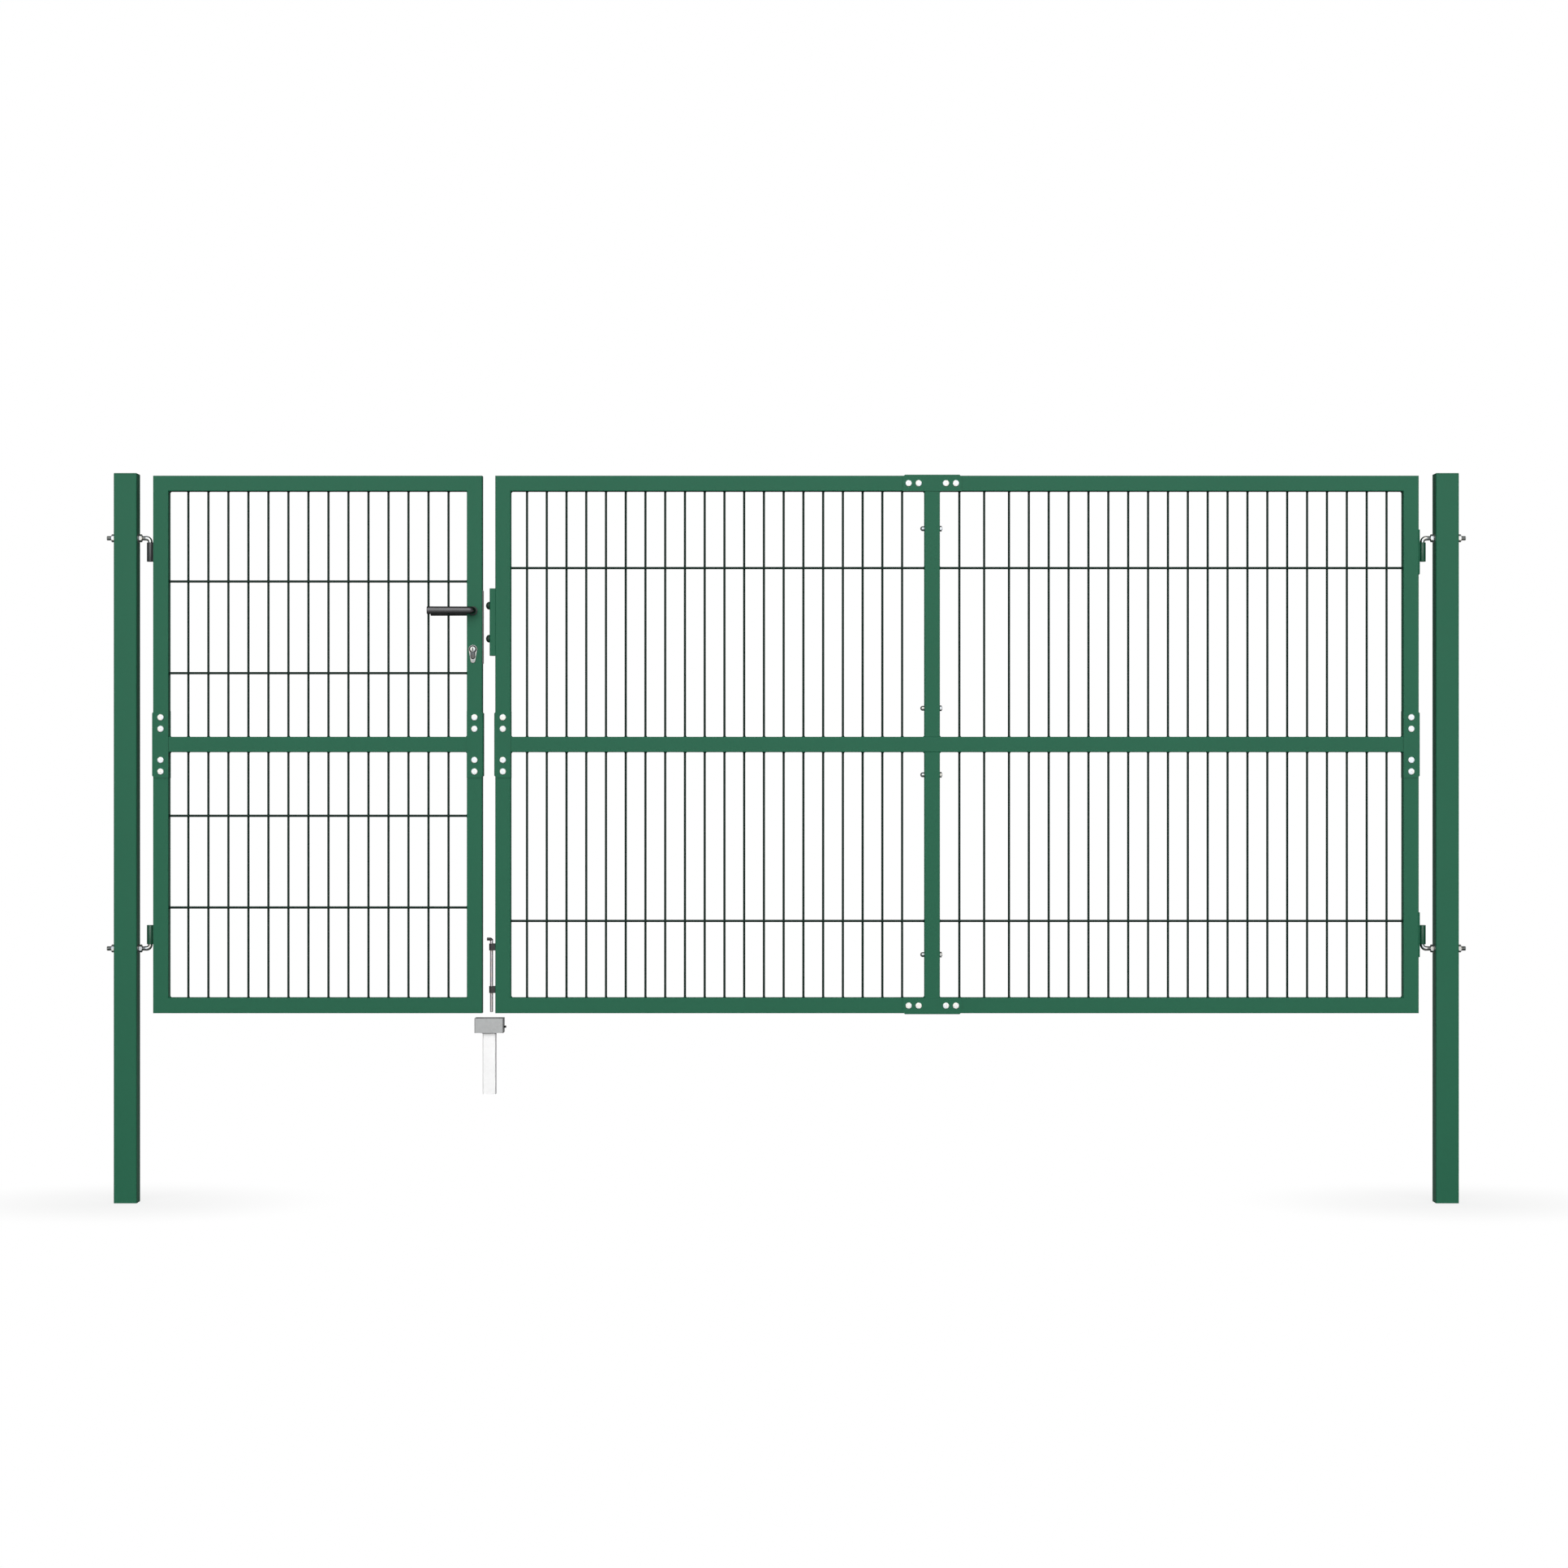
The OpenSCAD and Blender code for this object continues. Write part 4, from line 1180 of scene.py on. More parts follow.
@dataclass
class WirePanel(SubAssembly):
    """Welded wire mesh in one opening of a leaf, with the welds in the opening's corners."""

    node: str
    body: Body
    weld_depth: float = 0.8 * MM
    collar_h: float = 3.0 * MM
    wire_gap: float = 20.0 * MM
    tube_s: float = 40.0 * MM
    weld_short: float = 4.0 * MM
    drop_radii: tuple[float, float, float] = (1.35, 0.9, 1.2)
    drop_cut: float = 1.25
    collar_flare: float = 0.7
    collar_lobes: float = 0.08
    bead: Bead = field(default_factory=Bead)
    sides: int = 12

    def build(self) -> None:
        """Adds the wires, their collars at the frame and the frame's corner welds."""
        self.add(self.node + "_wires", self.wires() + self.crossings() + self.collars(), WIRE_COAT,
                 self.node)
        self.add(self.node + "_corner_welds", self.corner_welds(), GREEN_COAT)

    @cached_property
    def upright_r(self) -> float:
        """Radius of the upright wires, which reach furthest back."""
        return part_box(self.node)[1].y

    @cached_property
    def level_r(self) -> float:
        """Radius of the level wires, from their front to the weld in the uprights."""
        return (self.weld_depth - self.upright_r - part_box(self.node)[0].y) / 2.0

    @cached_property
    def level_y(self) -> float:
        """Depth at which the level wires lie, welded into the uprights' front."""
        return self.weld_depth - self.upright_r - self.level_r

    def middles(self, axis: int, edge: float) -> np.ndarray:
        """Places of the wires along an axis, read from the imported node's edge across it.

        Args:
            axis: 0 or 2 for x or z.
            edge: Where the node's edge lies along the other of the two.

        Returns:
            The places.
        """
        points = node_points(self.node)
        at_edge = np.abs(points[:, 2 - axis] - edge) < 0.01 * MM
        return cluster_middles(points[at_edge, axis], self.wire_gap)

    @cached_property
    def upright_places(self) -> np.ndarray:
        """Places of the upright wires along x, read from the upper edge."""
        return self.middles(0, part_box(self.node)[1].z)

    @cached_property
    def level_places(self) -> np.ndarray:
        """Heights of the level wires, read from the left edge."""
        return self.middles(2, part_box(self.node)[0].x)

    def upright(self, facing: Facing, rings: np.ndarray, z: float) -> Shape:
        """Copies of a stack on all upright wires, from one height."""
        return facing.skin(rings, [[x, 0.0, z] for x in self.upright_places])

    def level(self, facing: Facing, rings: np.ndarray, x: float) -> Shape:
        """Copies of a stack on all level wires, from one place along x."""
        return facing.skin(rings, [[x, self.level_y, z] for z in self.level_places])

    def wires(self) -> Shape:
        """Round wires from edge to edge of the opening.

        Returns:
            All wires of the panel.
        """
        low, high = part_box(self.node)
        upright = rounds([low.z, high.z], [self.upright_r] * 2, self.sides)
        level = rounds([0.0, high.x - low.x], [self.level_r] * 2, self.sides)
        return self.upright(Facing.UP, upright, 0.0) + self.level(Facing.RIGHT, level, low.x)

    def crossings(self) -> Shape:
        """Flattened drop of weld metal at each crossing: an ellipsoid cut into rings.

        At the angle b above its middle the ring has cos b of its width and lies at sin b.

        Returns:
            The drops.
        """
        latitude = np.linspace(-self.drop_cut, self.drop_cut, 6)
        ball = rounds(np.sin(latitude), np.cos(latitude), 8)
        wires = np.array([self.level_r, self.upright_r, self.level_r])
        drop = ball * (self.drop_radii * wires)
        places = [[x, self.level_y / 2.0, z] for z in self.level_places
                  for x in self.upright_places]
        return Facing.UP.skin(drop, places)

    def collars(self) -> Shape:
        """Weld metal round each wire's end.

        At the share s of its height its radius is 1 + flare (1 - s)^2 times the wire's, with lobes.

        Returns:
            The collars.
        """
        low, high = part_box(self.node)
        part = np.linspace(0.0, 1.0, 5)
        lobes = 1.0 + self.collar_lobes * np.cos(3.0 * angles(self.sides))
        profile = (1.0 + self.collar_flare * (1.0 - part) ** 2)[:, None] * lobes[None]
        upright = rounds(self.collar_h * part, self.upright_r * profile, self.sides)
        level = rounds(self.collar_h * part, self.level_r * profile, self.sides)
        return (self.upright(Facing.UP, upright, low.z) + self.upright(Facing.DOWN, upright, high.z)
                + self.level(Facing.RIGHT, level, low.x) + self.level(Facing.LEFT, level, high.x))

    def corner_welds(self) -> Shape:
        """A bead through the depth of the frame in each corner of the opening.

        Returns:
            The four beads.
        """
        low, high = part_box(self.node)
        length = self.tube_s - self.weld_short
        places = [[x, -length / 2.0, z] for x in (low.x, high.x) for z in (low.z, high.z)]
        return Facing.BACK.skin(self.bead.rings(length), places)


@dataclass
class BoltHead:
    """Low round bolt head with a small hexagon socket."""

    radius: float = 8.25 * MM
    height: float = 3.2 * MM
    rim: float = 1.4 * MM
    crown_r: float = 6.2 * MM
    socket: float = 2.5 * MM
    socket_depth: float = 0.5 * MM
    socket_edge: float = 0.25 * MM
    sides: int = 36

    def rings(self) -> np.ndarray:
        """Rings up the rim, over a quarter-round crown and down into the socket.

        On the crown r = crown_r + (radius - crown_r) cos b and z = rim + (height - rim) sin b.

        Returns:
            Points, (rings, sides, 3).
        """
        rise, reach = quarter(7)
        heights = chain(0.0, self.rim + (self.height - self.rim) * rise)
        radii = chain(self.radius, self.crown_r + (self.radius - self.crown_r) * reach)
        rim = np.broadcast_to(radii[:, None], (len(radii), self.sides))
        mouth = hexagon(self.socket, self.sides)
        inner = np.stack([mouth + self.socket_edge, mouth, mouth])
        inner_z = self.height - np.array([0.0, self.socket_edge, self.socket_depth])
        return rounds(chain(heights, inner_z), chain(rim, inner), self.sides)


@dataclass
class Leaf(SubAssembly):
    """What both leaves have: painted frame tubes, plate bolts and panels of wire mesh."""

    body: Body
    prefix: str
    tubes: tuple[str, ...]
    panels: tuple[str, ...]
    head: BoltHead = field(default_factory=BoltHead)

    def build_frame(self) -> None:
        """Paints the frame, puts round heads on the plate bolts and adds the mesh."""
        self.dress(GREEN_COAT, *(f"{self.prefix}_{tube}" for tube in self.tubes))
        node = f"{self.prefix}_plate_bolts"
        front, back = tip_places(node, 1, -1), tip_places(node, 1, 1)
        rings = self.head.rings()
        front[:, 1] += self.head.height
        back[:, 1] -= self.head.height
        heads = Facing.FRONT.skin(rings, front) + Facing.BACK.skin(rings, back)
        self.add(f"{self.prefix}_bolt_heads", heads, HEAD_ZINC, node)
        for panel in self.panels:
            WirePanel(f"{self.prefix}_{panel}_mesh", self.body).build()


@dataclass
class Barrel:
    """Hinge barrel: a bored tube with rounded ends on a web."""

    radius: float = 9.0 * MM
    bore_r: float = 6.05 * MM
    length: float = 50.0 * MM
    mouth: float = 0.4 * MM
    wall_in: float = 1.0 * MM
    web_w: float = 12.0 * MM
    fillet: float = 0.8 * MM
    bead: Bead = field(default_factory=lambda: Bead(1.6 * MM))
    bead_out: float = 0.4 * MM
    sides: int = 40

    def tube(self) -> np.ndarray:
        """Looped rings up the outside and down the bore, rounded at both ends.

        Returns:
            Points, (rings, sides, 3).
        """
        below, inside = round_edge(self.fillet, 4)
        outside_z = chain(below[::-1], self.length - below)
        outside_r = self.radius - chain(inside[::-1], inside)
        bore_z = [self.length - self.mouth, self.mouth]
        mouth_r = self.bore_r + self.mouth
        heights = chain(outside_z, self.length, bore_z, 0.0)
        radii = chain(outside_r, mouth_r, np.full(2, self.bore_r), mouth_r)
        return rounds(heights, radii, self.sides)

    def pair(self, axis_x: float, face_x: float, lower_z: float, upper_z: float) -> Shape:
        """Two barrels, one above the other, with their webs and beads.

        Args:
            axis_x: The hinge axis.
            face_x: The face that the webs are welded to.
            lower_z: The lower barrel's lower end.
            upper_z: The upper barrel's lower end.

        Returns:
            Both as one shape.
        """
        return self.shape(axis_x, face_x, lower_z) + self.shape(axis_x, face_x, upper_z)

    def shape(self, axis_x: float, face_x: float, z: float) -> Shape:
        """One barrel, its web to the face and the two upright weld beads there.

        Args:
            axis_x: The hinge axis.
            face_x: The face that the web is welded to.
            z: The barrel's lower end.

        Returns:
            The barrel with its web and beads.
        """
        side = math.copysign(1.0, face_x - axis_x)
        near_x = axis_x + side * (self.bore_r + self.wall_in)
        width = abs(face_x - near_x)
        outline = rounded_rectangle(width, self.web_w, 0.3 * MM, 2)
        web = slab(outline, [self.wall_in, self.length - self.wall_in], [0.0, 0.0])
        beads = self.bead.rings(self.length)
        bead_x = face_x - side * self.bead_out
        places = [[bead_x, y, z] for y in (-self.web_w / 2.0, self.web_w / 2.0)]
        return (Facing.UP.skin(self.tube(), (axis_x, 0.0, z), looped=True)
                + Facing.UP.skin(web, ((near_x + face_x) / 2.0, 0.0, z))
                + Facing.UP.skin(beads, places))


@dataclass
class NarrowLeaf(Leaf):
    """Walk-through leaf with its lock."""

    body: Body = Body.NARROW_LEAF
    prefix: str = "narrow"
    tubes: tuple[str, ...] = ("top_rail", "mid_rail", "bottom_rail", "hinge_stile", "lock_stile",
                              "joining_plates")
    panels: tuple[str, ...] = ("upper", "lower")
    barrel: Barrel = field(default_factory=Barrel)

    def build(self) -> None:
        """Dresses the leaf and adds its hinge barrels."""
        self.build_frame()
        low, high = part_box("narrow_hinge_barrels")
        face_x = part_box("narrow_hinge_stile")[0].x
        barrels = self.barrel.pair(low.x + self.barrel.radius, face_x, low.z,
                                   high.z - self.barrel.length)
        # Narrow barrels in the green coat darkened as painted shade, dark grey above a height.
        self.add("narrow_barrels", barrels, SHADED_GREY_TOP_COAT, "narrow_hinge_barrels")


@dataclass
class LeverLock(SubAssembly):
    """Lock of the narrow leaf: levers, roses, cylinder, escutcheons and face plate."""

    body: Body = Body.NARROW_LEAF
    tube_s: float = 40.0 * MM
    hub_r: float = 9.5 * MM
    hub_gap: float = 0.3 * MM
    grip_y: float = 57.0 * MM
    grip_t: float = 14.0 * MM
    tip_h: float = 20.0 * MM
    tip_fillet: float = 2.0 * MM
    bend_share: float = 0.35
    squareness: float = 0.4
    bend_r: float = 10.0 * MM
    rose_r: float = 12.0 * MM
    rose_t: float = 3.0 * MM
    head_r: float = 8.5 * MM
    tail_r: float = 5.0 * MM
    cylinder_edge: float = 0.5 * MM
    plug_r: float = 6.6 * MM
    plug_ring: float = 1.3 * MM
    proud: float = 0.35 * MM
    gap_w: float = 1.6 * MM
    keyway: tuple[float, float, float] = (2.6 * MM, 9.2 * MM, 1.2 * MM)
    keyway_t: float = 0.12 * MM
    plate_head_r: float = 11.5 * MM
    plate_tail_r: float = 6.5 * MM
    plate_drop: float = 30.0 * MM
    plate_t: float = 2.5 * MM
    screw_r: float = 4.0 * MM
    screw_h: float = 0.5 * MM
    screw_in: float = 9.0 * MM
    end_t: float = 0.8 * MM
    end_sunk: float = 0.2 * MM
    latch_end: tuple[float, float, float] = (11.0 * MM, 17.0 * MM, 31.0 * MM)
    bolt_end: tuple[float, float, float] = (9.0 * MM, 30.0 * MM, -30.0 * MM)

    def build(self) -> None:
        """Adds the lock's pieces on both sides of the leaf."""
        self.dress(FACE_STEEL, "lock_faceplate")
        self.dress(BRIGHT_ZINC, "lever_spindle")
        self.add("lever_handle_pair", self.levers(), LEVER_BLACK, "lever_handles", body=Body.LEVER)
        rose = rounded_rod(self.rose_t, self.rose_r, 1.0 * MM, 40)
        self.add("lever_rose_pair", self.both_faces(rose, *self.lever_axis()), BLACK_PLASTIC,
                 "lever_roses")
        outline = teardrop(self.plate_head_r, self.plate_tail_r, self.plate_drop)
        plate = soft_slab(outline, self.plate_t, 1.2 * MM)
        axis_x, *_, z = self.cylinder_span()
        self.add("escutcheon_pair", self.both_faces(plate, axis_x, z), NICKEL, "lock_escutcheons")
        # The cylinder's body in nickel darkened as painted shade; its plug in plain nickel.
        self.add("lock_cylinder_body", self.cylinder(), SHADED_NICKEL, "lock_cylinder")
        self.add("lock_cylinder_plug", self.plug(), NICKEL)
        # Thin black sheets as painted shade in the keyways, round the plug and round the cylinder.
        self.add("keyways", self.keyways(), GAP_SHADE_BLACK)
        self.add("faceplate_screws", self.screws(), FACE_STEEL)

    def lever_axis(self) -> tuple[float, float]:
        """The spindle's x and z."""
        place = next(j["pos_m"] for j in frame["joints"] if j["name"] == "lever_turn")
        return place[0], place[2]

    def cylinder_span(self) -> tuple[float, float, float, float]:
        """The lock cylinder's x, its front and back y, and its round head's z."""
        low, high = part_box("lock_cylinder")
        return (low.x + high.x) / 2.0, low.y, high.y, high.z - self.head_r

    def levers(self) -> Shape:
        """Two levers, each one section carried out from the rose, round a bend and to the tip.

        The section is a superellipse |u / a|^n + |v / b|^n = 1. It is a circle at the hub, and
        flattens and squares up to the grip. The tip's edge is a quarter circle.

        Returns:
            Both levers.
        """
        axis_x, z = self.lever_axis()
        tip_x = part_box("lever_handles")[0].x
        sine, cosine = quarter(12)
        out_l = self.grip_y - self.bend_r - self.tube_s / 2.0 - self.hub_gap
        rise, reach = quarter(7)
        tip, share = self.tip_fillet, self.bend_share
        along = np.linspace(0.0, 1.0, 12)[1:] * (axis_x - self.bend_r - tip_x - tip)
        x = chain(np.zeros(3), -self.bend_r * (1.0 - cosine),
                  -self.bend_r - along, tip_x + tip - axis_x - tip * rise[1:])
        y = chain(np.array([0.0, 0.5, 0.9]) * out_l, out_l + self.bend_r * sine,
                  np.full(len(along) + 6, out_l + self.bend_r))
        run = chain(np.zeros(3), share * sine ** 2,
                    share + (1.0 - share) * along / along[-1], np.ones(6))
        shrink = tip * chain(np.zeros(len(x) - 6), 1.0 - reach[1:])
        early = np.minimum(run / share, 1.0)
        thin = self.hub_r + (self.grip_t / 2.0 - self.hub_r) * early - shrink
        tall = self.hub_r + (self.tip_h / 2.0 - self.hub_r) * run - shrink
        power = (2.0 / (2.0 + self.squareness * run))[:, None, None]
        around = circles([1.0], 40)
        sections = columns(thin, tall)[:, None] * np.sign(around) * np.abs(around) ** power
        y += self.tube_s / 2.0 + self.hub_gap
        return skin(np.stack([
            sweep(columns(axis_x + x, side * y, np.full(len(x), z)), Z_AXIS, sections)
            for side in (-1.0, 1.0)]))

    def both_faces(self, rings: np.ndarray, x: float, z: float) -> Shape:
        """Copies of a stack that stand out from the lock stile's front and back.

        Args:
            rings: Points of one stack, (rings, points on a ring, 3).
            x: Place of the stack's own origin along x.
            z: Its height.

        Returns:
            Both copies.
        """
        half = self.tube_s / 2.0
        return Facing.FRONT.skin(rings, (x, -half, z)) + Facing.BACK.skin(rings, (x, half, z))

    def keyed(self, wider: float = 0.0) -> np.ndarray:
        """The cylinder's outline, or one that is wider all round.

        Args:
            wider: How far the outline is moved out.

        Returns:
            Points in x and y, (points, 2).
        """
        low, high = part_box("lock_cylinder")
        drop = high.z - low.z - self.head_r - self.tail_r
        return keyed_round(self.head_r + wider, self.tail_r + wider, drop)

    def cylinder(self) -> Shape:
        """The cylinder's keyed body, whose ends lie slightly behind those of its plug, in nickel
        darkened as painted shade.

        Returns:
            The body.
        """
        axis_x, front_y, back_y, z = self.cylinder_span()
        length = back_y - front_y - 2.0 * self.proud
        bevel = self.cylinder_edge
        body = slab(self.keyed(), [0.0, bevel, length - bevel, length], [bevel, 0.0, 0.0, bevel])
        return Facing.FRONT.skin(body, (axis_x, back_y - self.proud, z))

    def plug(self) -> Shape:
        """The cylinder's round plug, which stands slightly proud at both ends.

        Returns:
            The plug.
        """
        axis_x, front_y, back_y, z = self.cylinder_span()
        plug = rounded_rod(back_y - front_y, self.plug_r, 0.3 * MM, 32)
        return Facing.FRONT.skin(plug, (axis_x, back_y, z))

    def keyways(self) -> Shape:
        """Black sheets as painted shade: an upright keyway slot in each end of the plug, a ring
        round each end of the plug, and the gap round the cylinder.

        Returns:
            The slots, gaps and rings.
        """
        axis_x, front_y, back_y, z = self.cylinder_span()
        sunk = self.keyway_t / 2.0
        slot = soft_slab(rounded_rectangle(*self.keyway), self.keyway_t, 0.05 * MM, 2)
        gap = slab(self.keyed(self.gap_w), [0.0, 0.1 * MM], [0.0, 0.0])
        ring = rounds([0.0, sunk], [self.plug_r + self.plug_ring] * 2, 32)
        face = self.tube_s / 2.0 + self.plate_t
        shape = Facing.FRONT.skin(slot, (axis_x, front_y + sunk, z))
        for facing, gap_y, ring_y in ((Facing.FRONT, -face, front_y + self.proud),
                                      (Facing.BACK, face, back_y - self.proud)):
            shape += facing.skin(gap, (axis_x, gap_y, z))
            shape += facing.skin(ring, (axis_x, ring_y, z))
        return shape + Facing.BACK.skin(slot, (axis_x, back_y - sunk, z))

    def screws(self) -> Shape:
        """Face plate's two screws, with the flush ends of its latch and dead bolt.

        Returns:
            The screws and ends.
        """
        low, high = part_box("lock_faceplate")
        rise, reach = quarter(4)
        head = rounds(chain(0.0, self.screw_h * rise),
                      self.screw_r * chain(1.0, 0.6 + 0.4 * reach), 24)
        ends = [[high.x, 0.0, z] for z in (low.z + self.screw_in, high.z - self.screw_in)]
        shape = Facing.RIGHT.skin(head, ends)
        for width, height, above in (self.latch_end, self.bolt_end):
            end = soft_slab(rounded_rectangle(width, height, 1.0 * MM), self.end_t, 0.5 * MM)
            middle = (low.z + high.z) / 2.0 + above
            shape += Facing.RIGHT.skin(end, (high.x - self.end_sunk, 0.0, middle))
        return shape


@dataclass
class CentreBolt:
    """Bolt across the centre stile, with a domed cap on its left and a nut on its right."""

    cap_r: float = 6.5 * MM
    cap_base: float = 4.5 * MM
    cap_dome: float = 6.0 * MM
    nut_af: float = 13.0 * MM
    nut_h: float = 5.5 * MM
    nut_chamfer: float = 0.9 * MM
    end_r: float = 4.0 * MM
    end_out: float = 1.5 * MM
    edge: float = 0.4 * MM
    sides: int = 36

    def cap(self) -> np.ndarray:
        """Rings of the cap: a short cylinder under a half ellipse."""
        return dome(self.cap_r, self.edge, self.cap_base, self.cap_dome, self.edge, 9, self.sides)

    def nut(self) -> np.ndarray:
        """Rings of the nut: the smaller of a hexagon and a cone at each end.

        Returns:
            Points, (rings, sides, 3).
        """
        lower = np.array([0.0, self.edge, self.nut_chamfer])
        heights = chain(lower, self.nut_h - lower[::-1])
        from_end = np.minimum(heights, self.nut_h - heights)
        return rounds(heights, chamfered(self.nut_af, from_end, self.sides), self.sides)


@dataclass
class WideLeaf(Leaf):
    """Wide leaf with its centre stile, strike plate, hinge plates and drop-bolt guides."""

    body: Body = Body.WIDE_LEAF
    prefix: str = "wide"
    tubes: tuple[str, ...] = ("top_rail", "mid_rail", "bottom_rail", "meeting_stile",
                              "centre_stile", "hinge_stile", "joining_plates")
    panels: tuple[str, ...] = ("upper_left", "upper_right", "lower_left", "lower_right")
    barrel: Barrel = field(default_factory=Barrel)
    centre_bolt: CentreBolt = field(default_factory=CentreBolt)
    hinge_plate_t: float = 3.0 * MM
    hinge_plate_w: float = 40.0 * MM
    hinge_plate_l: float = 117.0 * MM
    hook_bend: float = 17.0 * MM
    buffer_r: float = 10.25 * MM
    buffer_h: float = 10.5 * MM
    buffer_base: float = 2.2 * MM
    buffer_edge: float = 1.2 * MM

    def build(self) -> None:
        """Dresses the leaf and adds its hardware."""
        self.build_frame()
        self.dress(GREEN_COAT, "strike_plate")
        self.dress(BLACK_PLASTIC, "drop_bolt_guides")
        self.add("wide_hinge_bases", self.hinge_plates(), GREEN_COAT, "wide_hinge_plates")
        # Wide barrels in the green coat darkened as painted shade.
        self.add("wide_hinge_barrels", self.barrels(), SHADED_BARREL_COAT, "wide_hinge_plates")
        self.add("centre_stile_bolts", self.centre_bolts(), BRIGHT_ZINC, "wide_centre_bolts")
        self.add("strike_stops", self.buffers(), DARK_RUBBER, "strike_buffers")

    def hinge_plates(self) -> Shape:
        """Both hinge plates, with softened edges.

        Returns:
            Both plates.
        """
        low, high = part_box("wide_hinge_plates")
        outline = rounded_rectangle(self.hinge_plate_w, self.hinge_plate_l, 2.0 * MM)
        plate = soft_slab(outline, self.hinge_plate_t, 1.2 * MM)
        half = self.hinge_plate_l / 2.0
        return Facing.RIGHT.skin(plate, [[low.x, 0.0, z] for z in (low.z + half, high.z - half)])

    def barrels(self) -> Shape:
        """Both barrels, each with its weld to its plate.

        Returns:
            Both barrels.
        """
        low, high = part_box("wide_hinge_plates")
        hooks_low, hooks_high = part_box("right_hinge_hooks")
        return self.barrel.pair(high.x - self.barrel.radius, low.x + self.hinge_plate_t,
                                hooks_low.z + self.hook_bend,
                                hooks_high.z - self.hook_bend - self.barrel.length)

    def centre_bolts(self) -> Shape:
        """The four bolts that cross the centre stile.

        Returns:
            Their caps, nuts and ends.
        """
        caps = tip_places("wide_centre_bolts", 0, -1)
        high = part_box("wide_centre_bolts")[1]
        caps[:, 0] += self.centre_bolt.cap_base + self.centre_bolt.cap_dome
        nuts = caps.copy()
        nuts[:, 0] = high.x - self.centre_bolt.nut_h
        end = rounded_rod(self.centre_bolt.nut_h + self.centre_bolt.end_out,
                          self.centre_bolt.end_r, 0.8 * MM)
        return (Facing.LEFT.skin(self.centre_bolt.cap(), caps)
                + Facing.RIGHT.skin(self.centre_bolt.nut(), nuts)
                + Facing.RIGHT.skin(end, nuts))

    def buffers(self) -> Shape:
        """Rubber stops: a narrow foot, a rounded shoulder and a low dome.

        Returns:
            The stops.
        """
        places = tip_places("strike_buffers", 0, -1)
        places[:, 0] += self.buffer_h
        rings = dome(self.buffer_r, self.buffer_edge, self.buffer_base,
                     self.buffer_h - self.buffer_base, 0.5 * MM, 8, 32)
        return Facing.LEFT.skin(rings, places)


@dataclass
class DropBolt(SubAssembly):
    """Rod that locks the wide leaf to the ground, with a bent handle."""

    body: Body = Body.DROP_BOLT
    rod_r: float = 4.0 * MM
    handle_r: float = 3.4 * MM
    bend_r: float = 4.6 * MM
    tip_chamfer: float = 1.5 * MM
    sleeve_t: float = 0.6 * MM
    sleeve_from: int = 9
    sides: int = 20

    def build(self) -> None:
        """Adds the rod, bent over at its top."""
        rod = self.rod()
        self.add("drop_bolt_bent_rod", skin(rod), ROD_ZINC, "drop_bolt")
        self.add("drop_bolt_sleeve", skin(self.sleeve(rod)), BLACK_PLASTIC)

    def sleeve(self, rod: np.ndarray) -> np.ndarray:
        """Rings of a thin sleeve over the rod's bend and handle: its rings, made wider.

        Args:
            rod: The rod's rings.

        Returns:
            Points, (rings, sides, 3).
        """
        rings = rod[self.sleeve_from:]
        middles = rings.mean(axis=1, keepdims=True)
        return middles + (rings - middles) * (1.0 + self.sleeve_t / self.handle_r)

    def rod(self) -> np.ndarray:
        """Rings of one round section carried up the rod, round the bend and along the handle.

        Returns:
            Points, (rings, sides, 3).
        """
        low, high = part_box("drop_bolt")
        rod_x = high.x - self.rod_r
        bend_r, handle_z = self.bend_r, high.z - self.handle_r
        sine, cosine = quarter(10)
        rise = chain(0.0, self.tip_chamfer,
                     np.linspace(0.1, 0.95, 6) * (handle_z - bend_r - low.z))
        flat = np.array([0.35, 0.7, 0.88, 0.96, 1.0])
        x = chain(np.zeros(rise.shape), bend_r * (cosine - 1.0),
                  -bend_r - flat * (rod_x - bend_r - low.x))
        z = chain(low.z + rise, handle_z - bend_r + bend_r * sine,
                  np.full(flat.shape, handle_z))
        radii = chain(self.rod_r - self.tip_chamfer, np.full(len(rise) - 1, self.rod_r),
                      np.linspace(self.rod_r, self.handle_r, len(sine)),
                      self.handle_r * np.array([1.0, 1.0, 1.0, 0.9, 0.55]))
        path = columns(rod_x + x, np.zeros(len(x)), z)
        return sweep(path, Y_AXIS, circles(radii, self.sides))


# ---- Studio ----


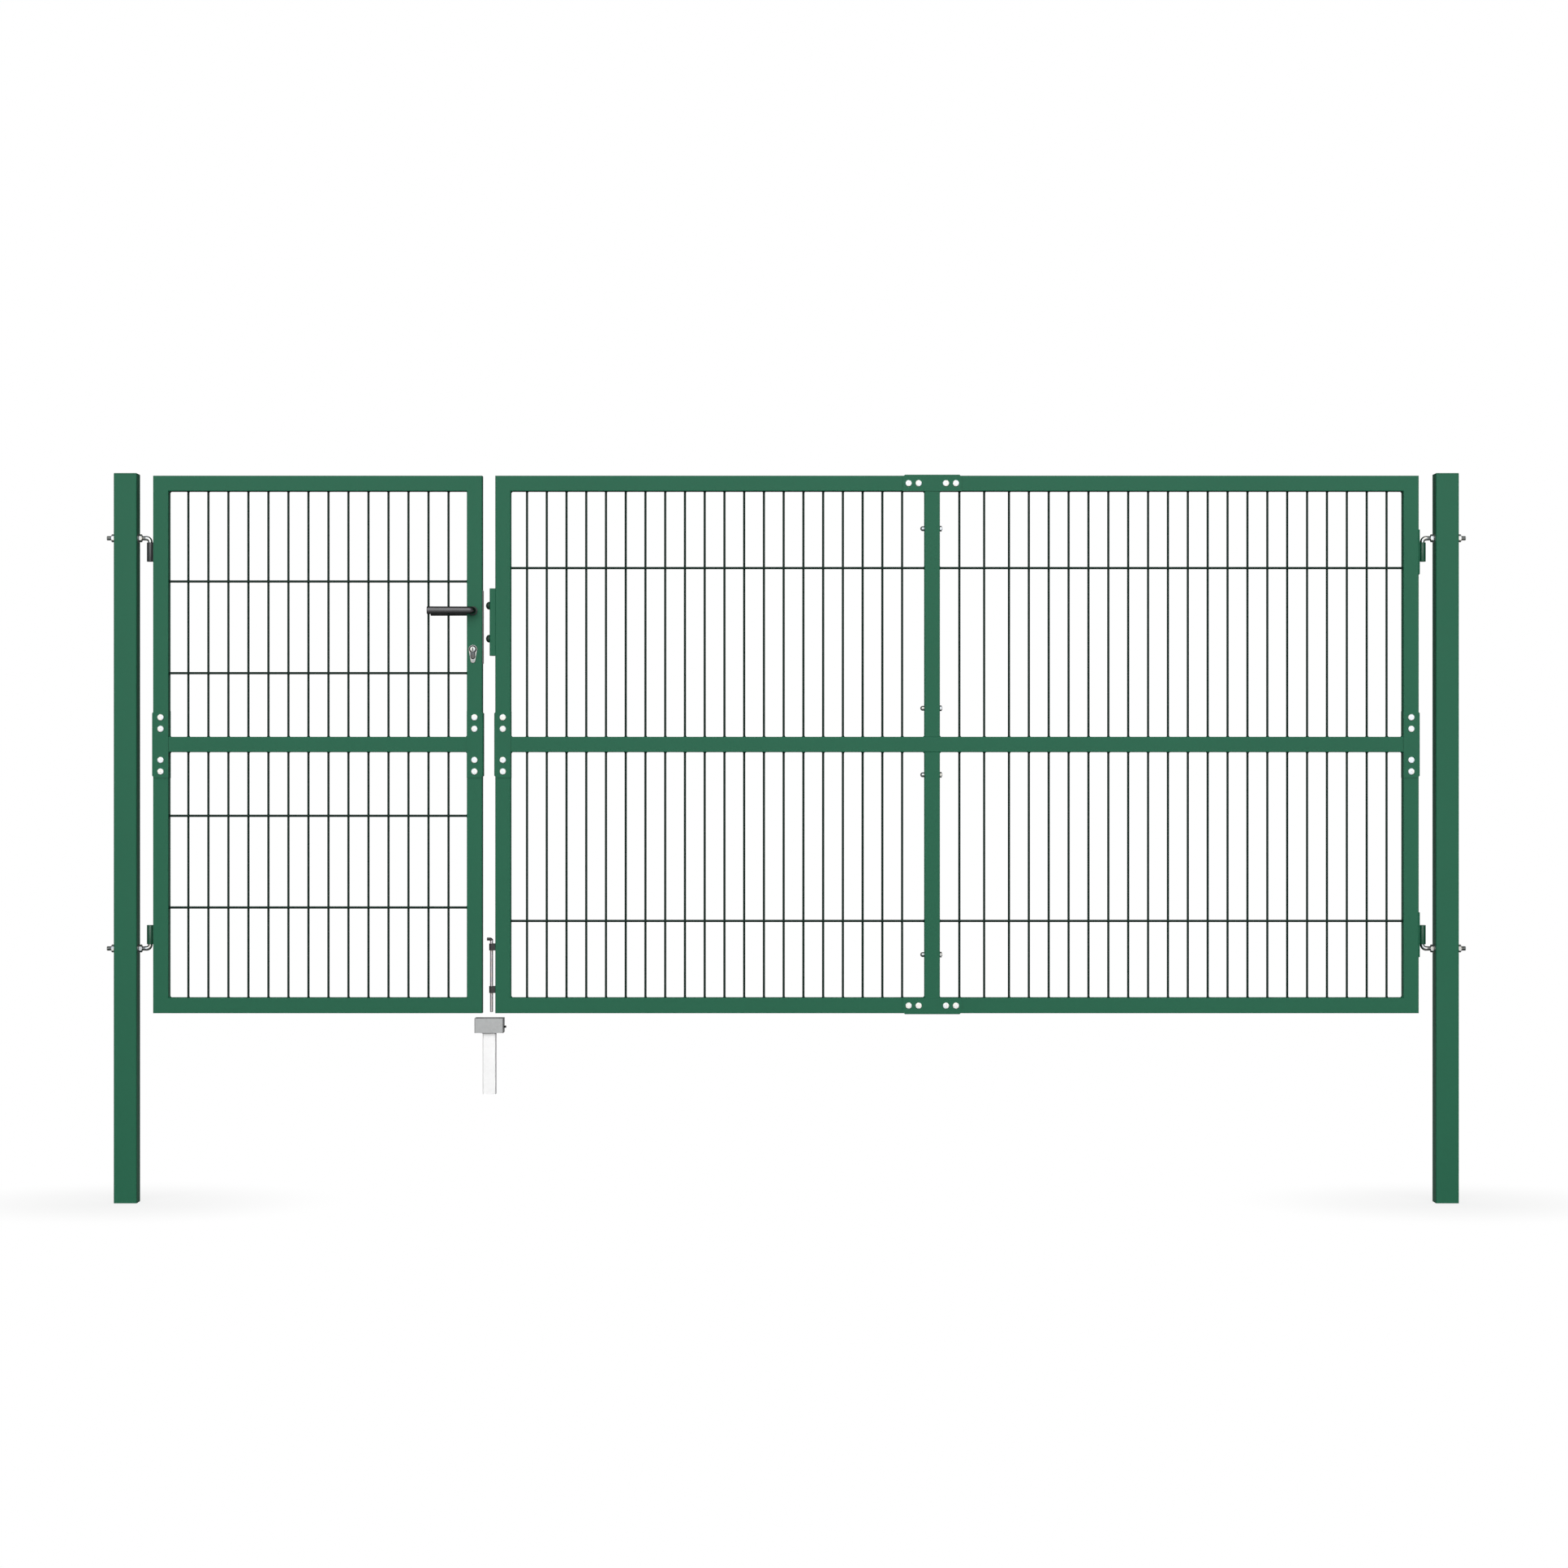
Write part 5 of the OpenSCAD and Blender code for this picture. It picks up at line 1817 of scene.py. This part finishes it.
@dataclass
class Studio:
    """Pale floor, plain soft light and the camera."""

    view_width: float = 4.079
    distance: float = 10.6
    eye_offset: tuple[float, float] = (-6.0 * MM, 141.0 * MM)
    post_half: float = 30.0 * MM
    sensor_mm: float = 36.0
    ambient: tuple[float, float] = (0.32, 1.15)
    ambient_edge: tuple[float, float] = (-0.3, 0.3)
    ambient_drop: float = 0.70
    ambient_drop_edge: tuple[float, float] = (0.2, 0.9)
    front_level: float = 1.0
    front_elevation: float = 10.0
    sun_width: float = 72.0
    card_dark: float = 0.06
    front_card: float = 0.60
    front_card_edge: tuple[float, float] = (0.1, 0.7)
    top_card: float = 0.25
    top_card_edge: tuple[float, float] = (0.35, 0.75)
    floor_half: float = 45.0
    floor_drop: float = 0.2 * MM
    floor_shade: float = 0.20
    floor_fade: tuple[float, float] = (0.08, 0.60)
    floor_bounce: float = 0.12
    floor_matt: float = 0.95
    floor_gloss: tuple[float, float] = (0.12, 0.90)
    floor_gloss_edge: tuple[float, float] = (0.8, 2.0)

    def build(self) -> None:
        """Sets up the whole studio."""
        bpy.context.scene.view_settings.view_transform = "Standard"
        self.world()
        self.sun()
        self.floor()
        self.camera()

    def world(self) -> None:
        """White to the camera and through glass, with soft light for everything else.

        Matt surfaces get a dim light from the front and a fuller one from behind. Gloss shows a
        pale card in front and one overhead, and is dark elsewhere, so that metal keeps its rims.
        """
        world = bpy.data.worlds.new("studio")
        world.use_nodes = True
        bpy.context.scene.world = world
        graph = Graph(world.node_tree)
        towards = Tint(graph, graph.node("TexCoord").outputs["Generated"])
        ahead, up = 0.0 - towards.part(1), towards.part(2)
        gloss = graph.ray("Is Glossy Ray")
        seen = graph.ray("Is Camera Ray", "Is Transmission Ray")
        cards = (self.card_dark + self.front_card * ahead.smooth(*self.front_card_edge)
                 + self.top_card * up.smooth(*self.top_card_edge))
        front, behind = self.ambient
        soft = behind + (front - behind) * ahead.smooth(*self.ambient_edge)
        soft = soft * (1.0 - self.ambient_drop * up.smooth(*self.ambient_drop_edge))
        other = (1.0 - seen - gloss).clamp(0.0, 1.0)
        strength = seen + gloss * cards + other * soft
        graph.finish("Background", {"Color": WHITE, "Strength": strength}, "OutputWorld")

    def sun(self) -> None:
        """Adds a broad sun in front, at which an upright face shows its colour as it is."""
        lamp = bpy.data.lights.new("front_sun", "SUN")
        lift = math.radians(self.front_elevation)
        lamp.energy = self.front_level * math.pi / math.cos(lift)
        lamp.angle = math.radians(self.sun_width)
        put("front_sun", lamp).rotation_euler = (QUARTER - lift, 0.0, 0.0)

    def floor(self) -> None:
        """Floor that is white to the camera, with soft shadows round the posts' feet only."""
        half = self.floor_half
        middle = (CAD_BOX[0].x + CAD_BOX[1].x) / 2.0
        points = [(middle + x * half, y * half, -self.floor_drop)
                  for x, y in ((-1, -1), (1, -1), (1, 1), (-1, 1))]
        mesh = bpy.data.meshes.new("studio_floor")
        mesh.from_pydata(points, [], [[0, 1, 2, 3]])
        mesh.materials.append(self.floor_material())
        put("studio_floor", mesh)

    def away(self, at: Tint, foot_x: float) -> Value:
        """Distance over the floor from a post's foot."""
        x, y = at.part(0) - foot_x, at.part(1)
        return (x * x + y * y) ** 0.5

    def floor_material(self) -> bpy.types.Material:
        """White glow for the camera, mixed with matt white near each post's foot.

        Returns:
            The material.
        """
        made = bpy.data.materials.new("studio_floor")
        made.use_nodes = True
        graph = Graph(made.node_tree)
        at = graph.places()
        feet = (self.away(at, 0.0), self.away(at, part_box("right_post")[1].x - self.post_half))
        near = 2.0 - feet[0].smooth(*self.floor_fade) - feet[1].smooth(*self.floor_fade)
        seen = graph.ray("Is Camera Ray", "Is Transmission Ray")
        matt = graph.node("BsdfDiffuse", {"Color": seen.blend((self.floor_bounce,) * 3,
                                                              (self.floor_matt,) * 3)})
        glow = graph.node("Emission", {"Color": WHITE, "Strength": 1.0})
        behind, ahead = self.floor_gloss
        gloss = behind + (ahead - behind) * (0.0 - at.part(1)).smooth(*self.floor_gloss_edge)
        share = (seen * (1.0 - self.floor_shade * near.clamp(0.0, 1.0))
                 + gloss * graph.ray("Is Glossy Ray")).clamp(0.0, 1.0)
        graph.finish("MixShader", {0: share, 1: matt, 2: glow}, "OutputMaterial")
        return made

    def camera(self) -> None:
        """Camera straight in front, set so that view_width spans the picture at the posts."""
        low, high = CAD_BOX
        lens = bpy.data.cameras.new("camera")
        lens.sensor_width = self.sensor_mm
        lens.lens = self.sensor_mm * self.distance / self.view_width
        made = put("camera", lens)
        made.location = ((low.x + high.x) / 2.0 + self.eye_offset[0],
                         -self.post_half - self.distance,
                         (low.z + high.z) / 2.0 + self.eye_offset[1])
        made.rotation_euler = (QUARTER, 0.0, 0.0)
        bpy.context.scene.camera = made


def main() -> None:
    """Builds the gate's dress and the studio."""
    logging.basicConfig(level=logging.INFO, format="%(message)s")
    for part in (Posts(), GroundLock(), NarrowLeaf(), LeverLock(), WideLeaf(), DropBolt()):
        part.build()
    Studio().build()


if __name__ == "__main__":
    main()
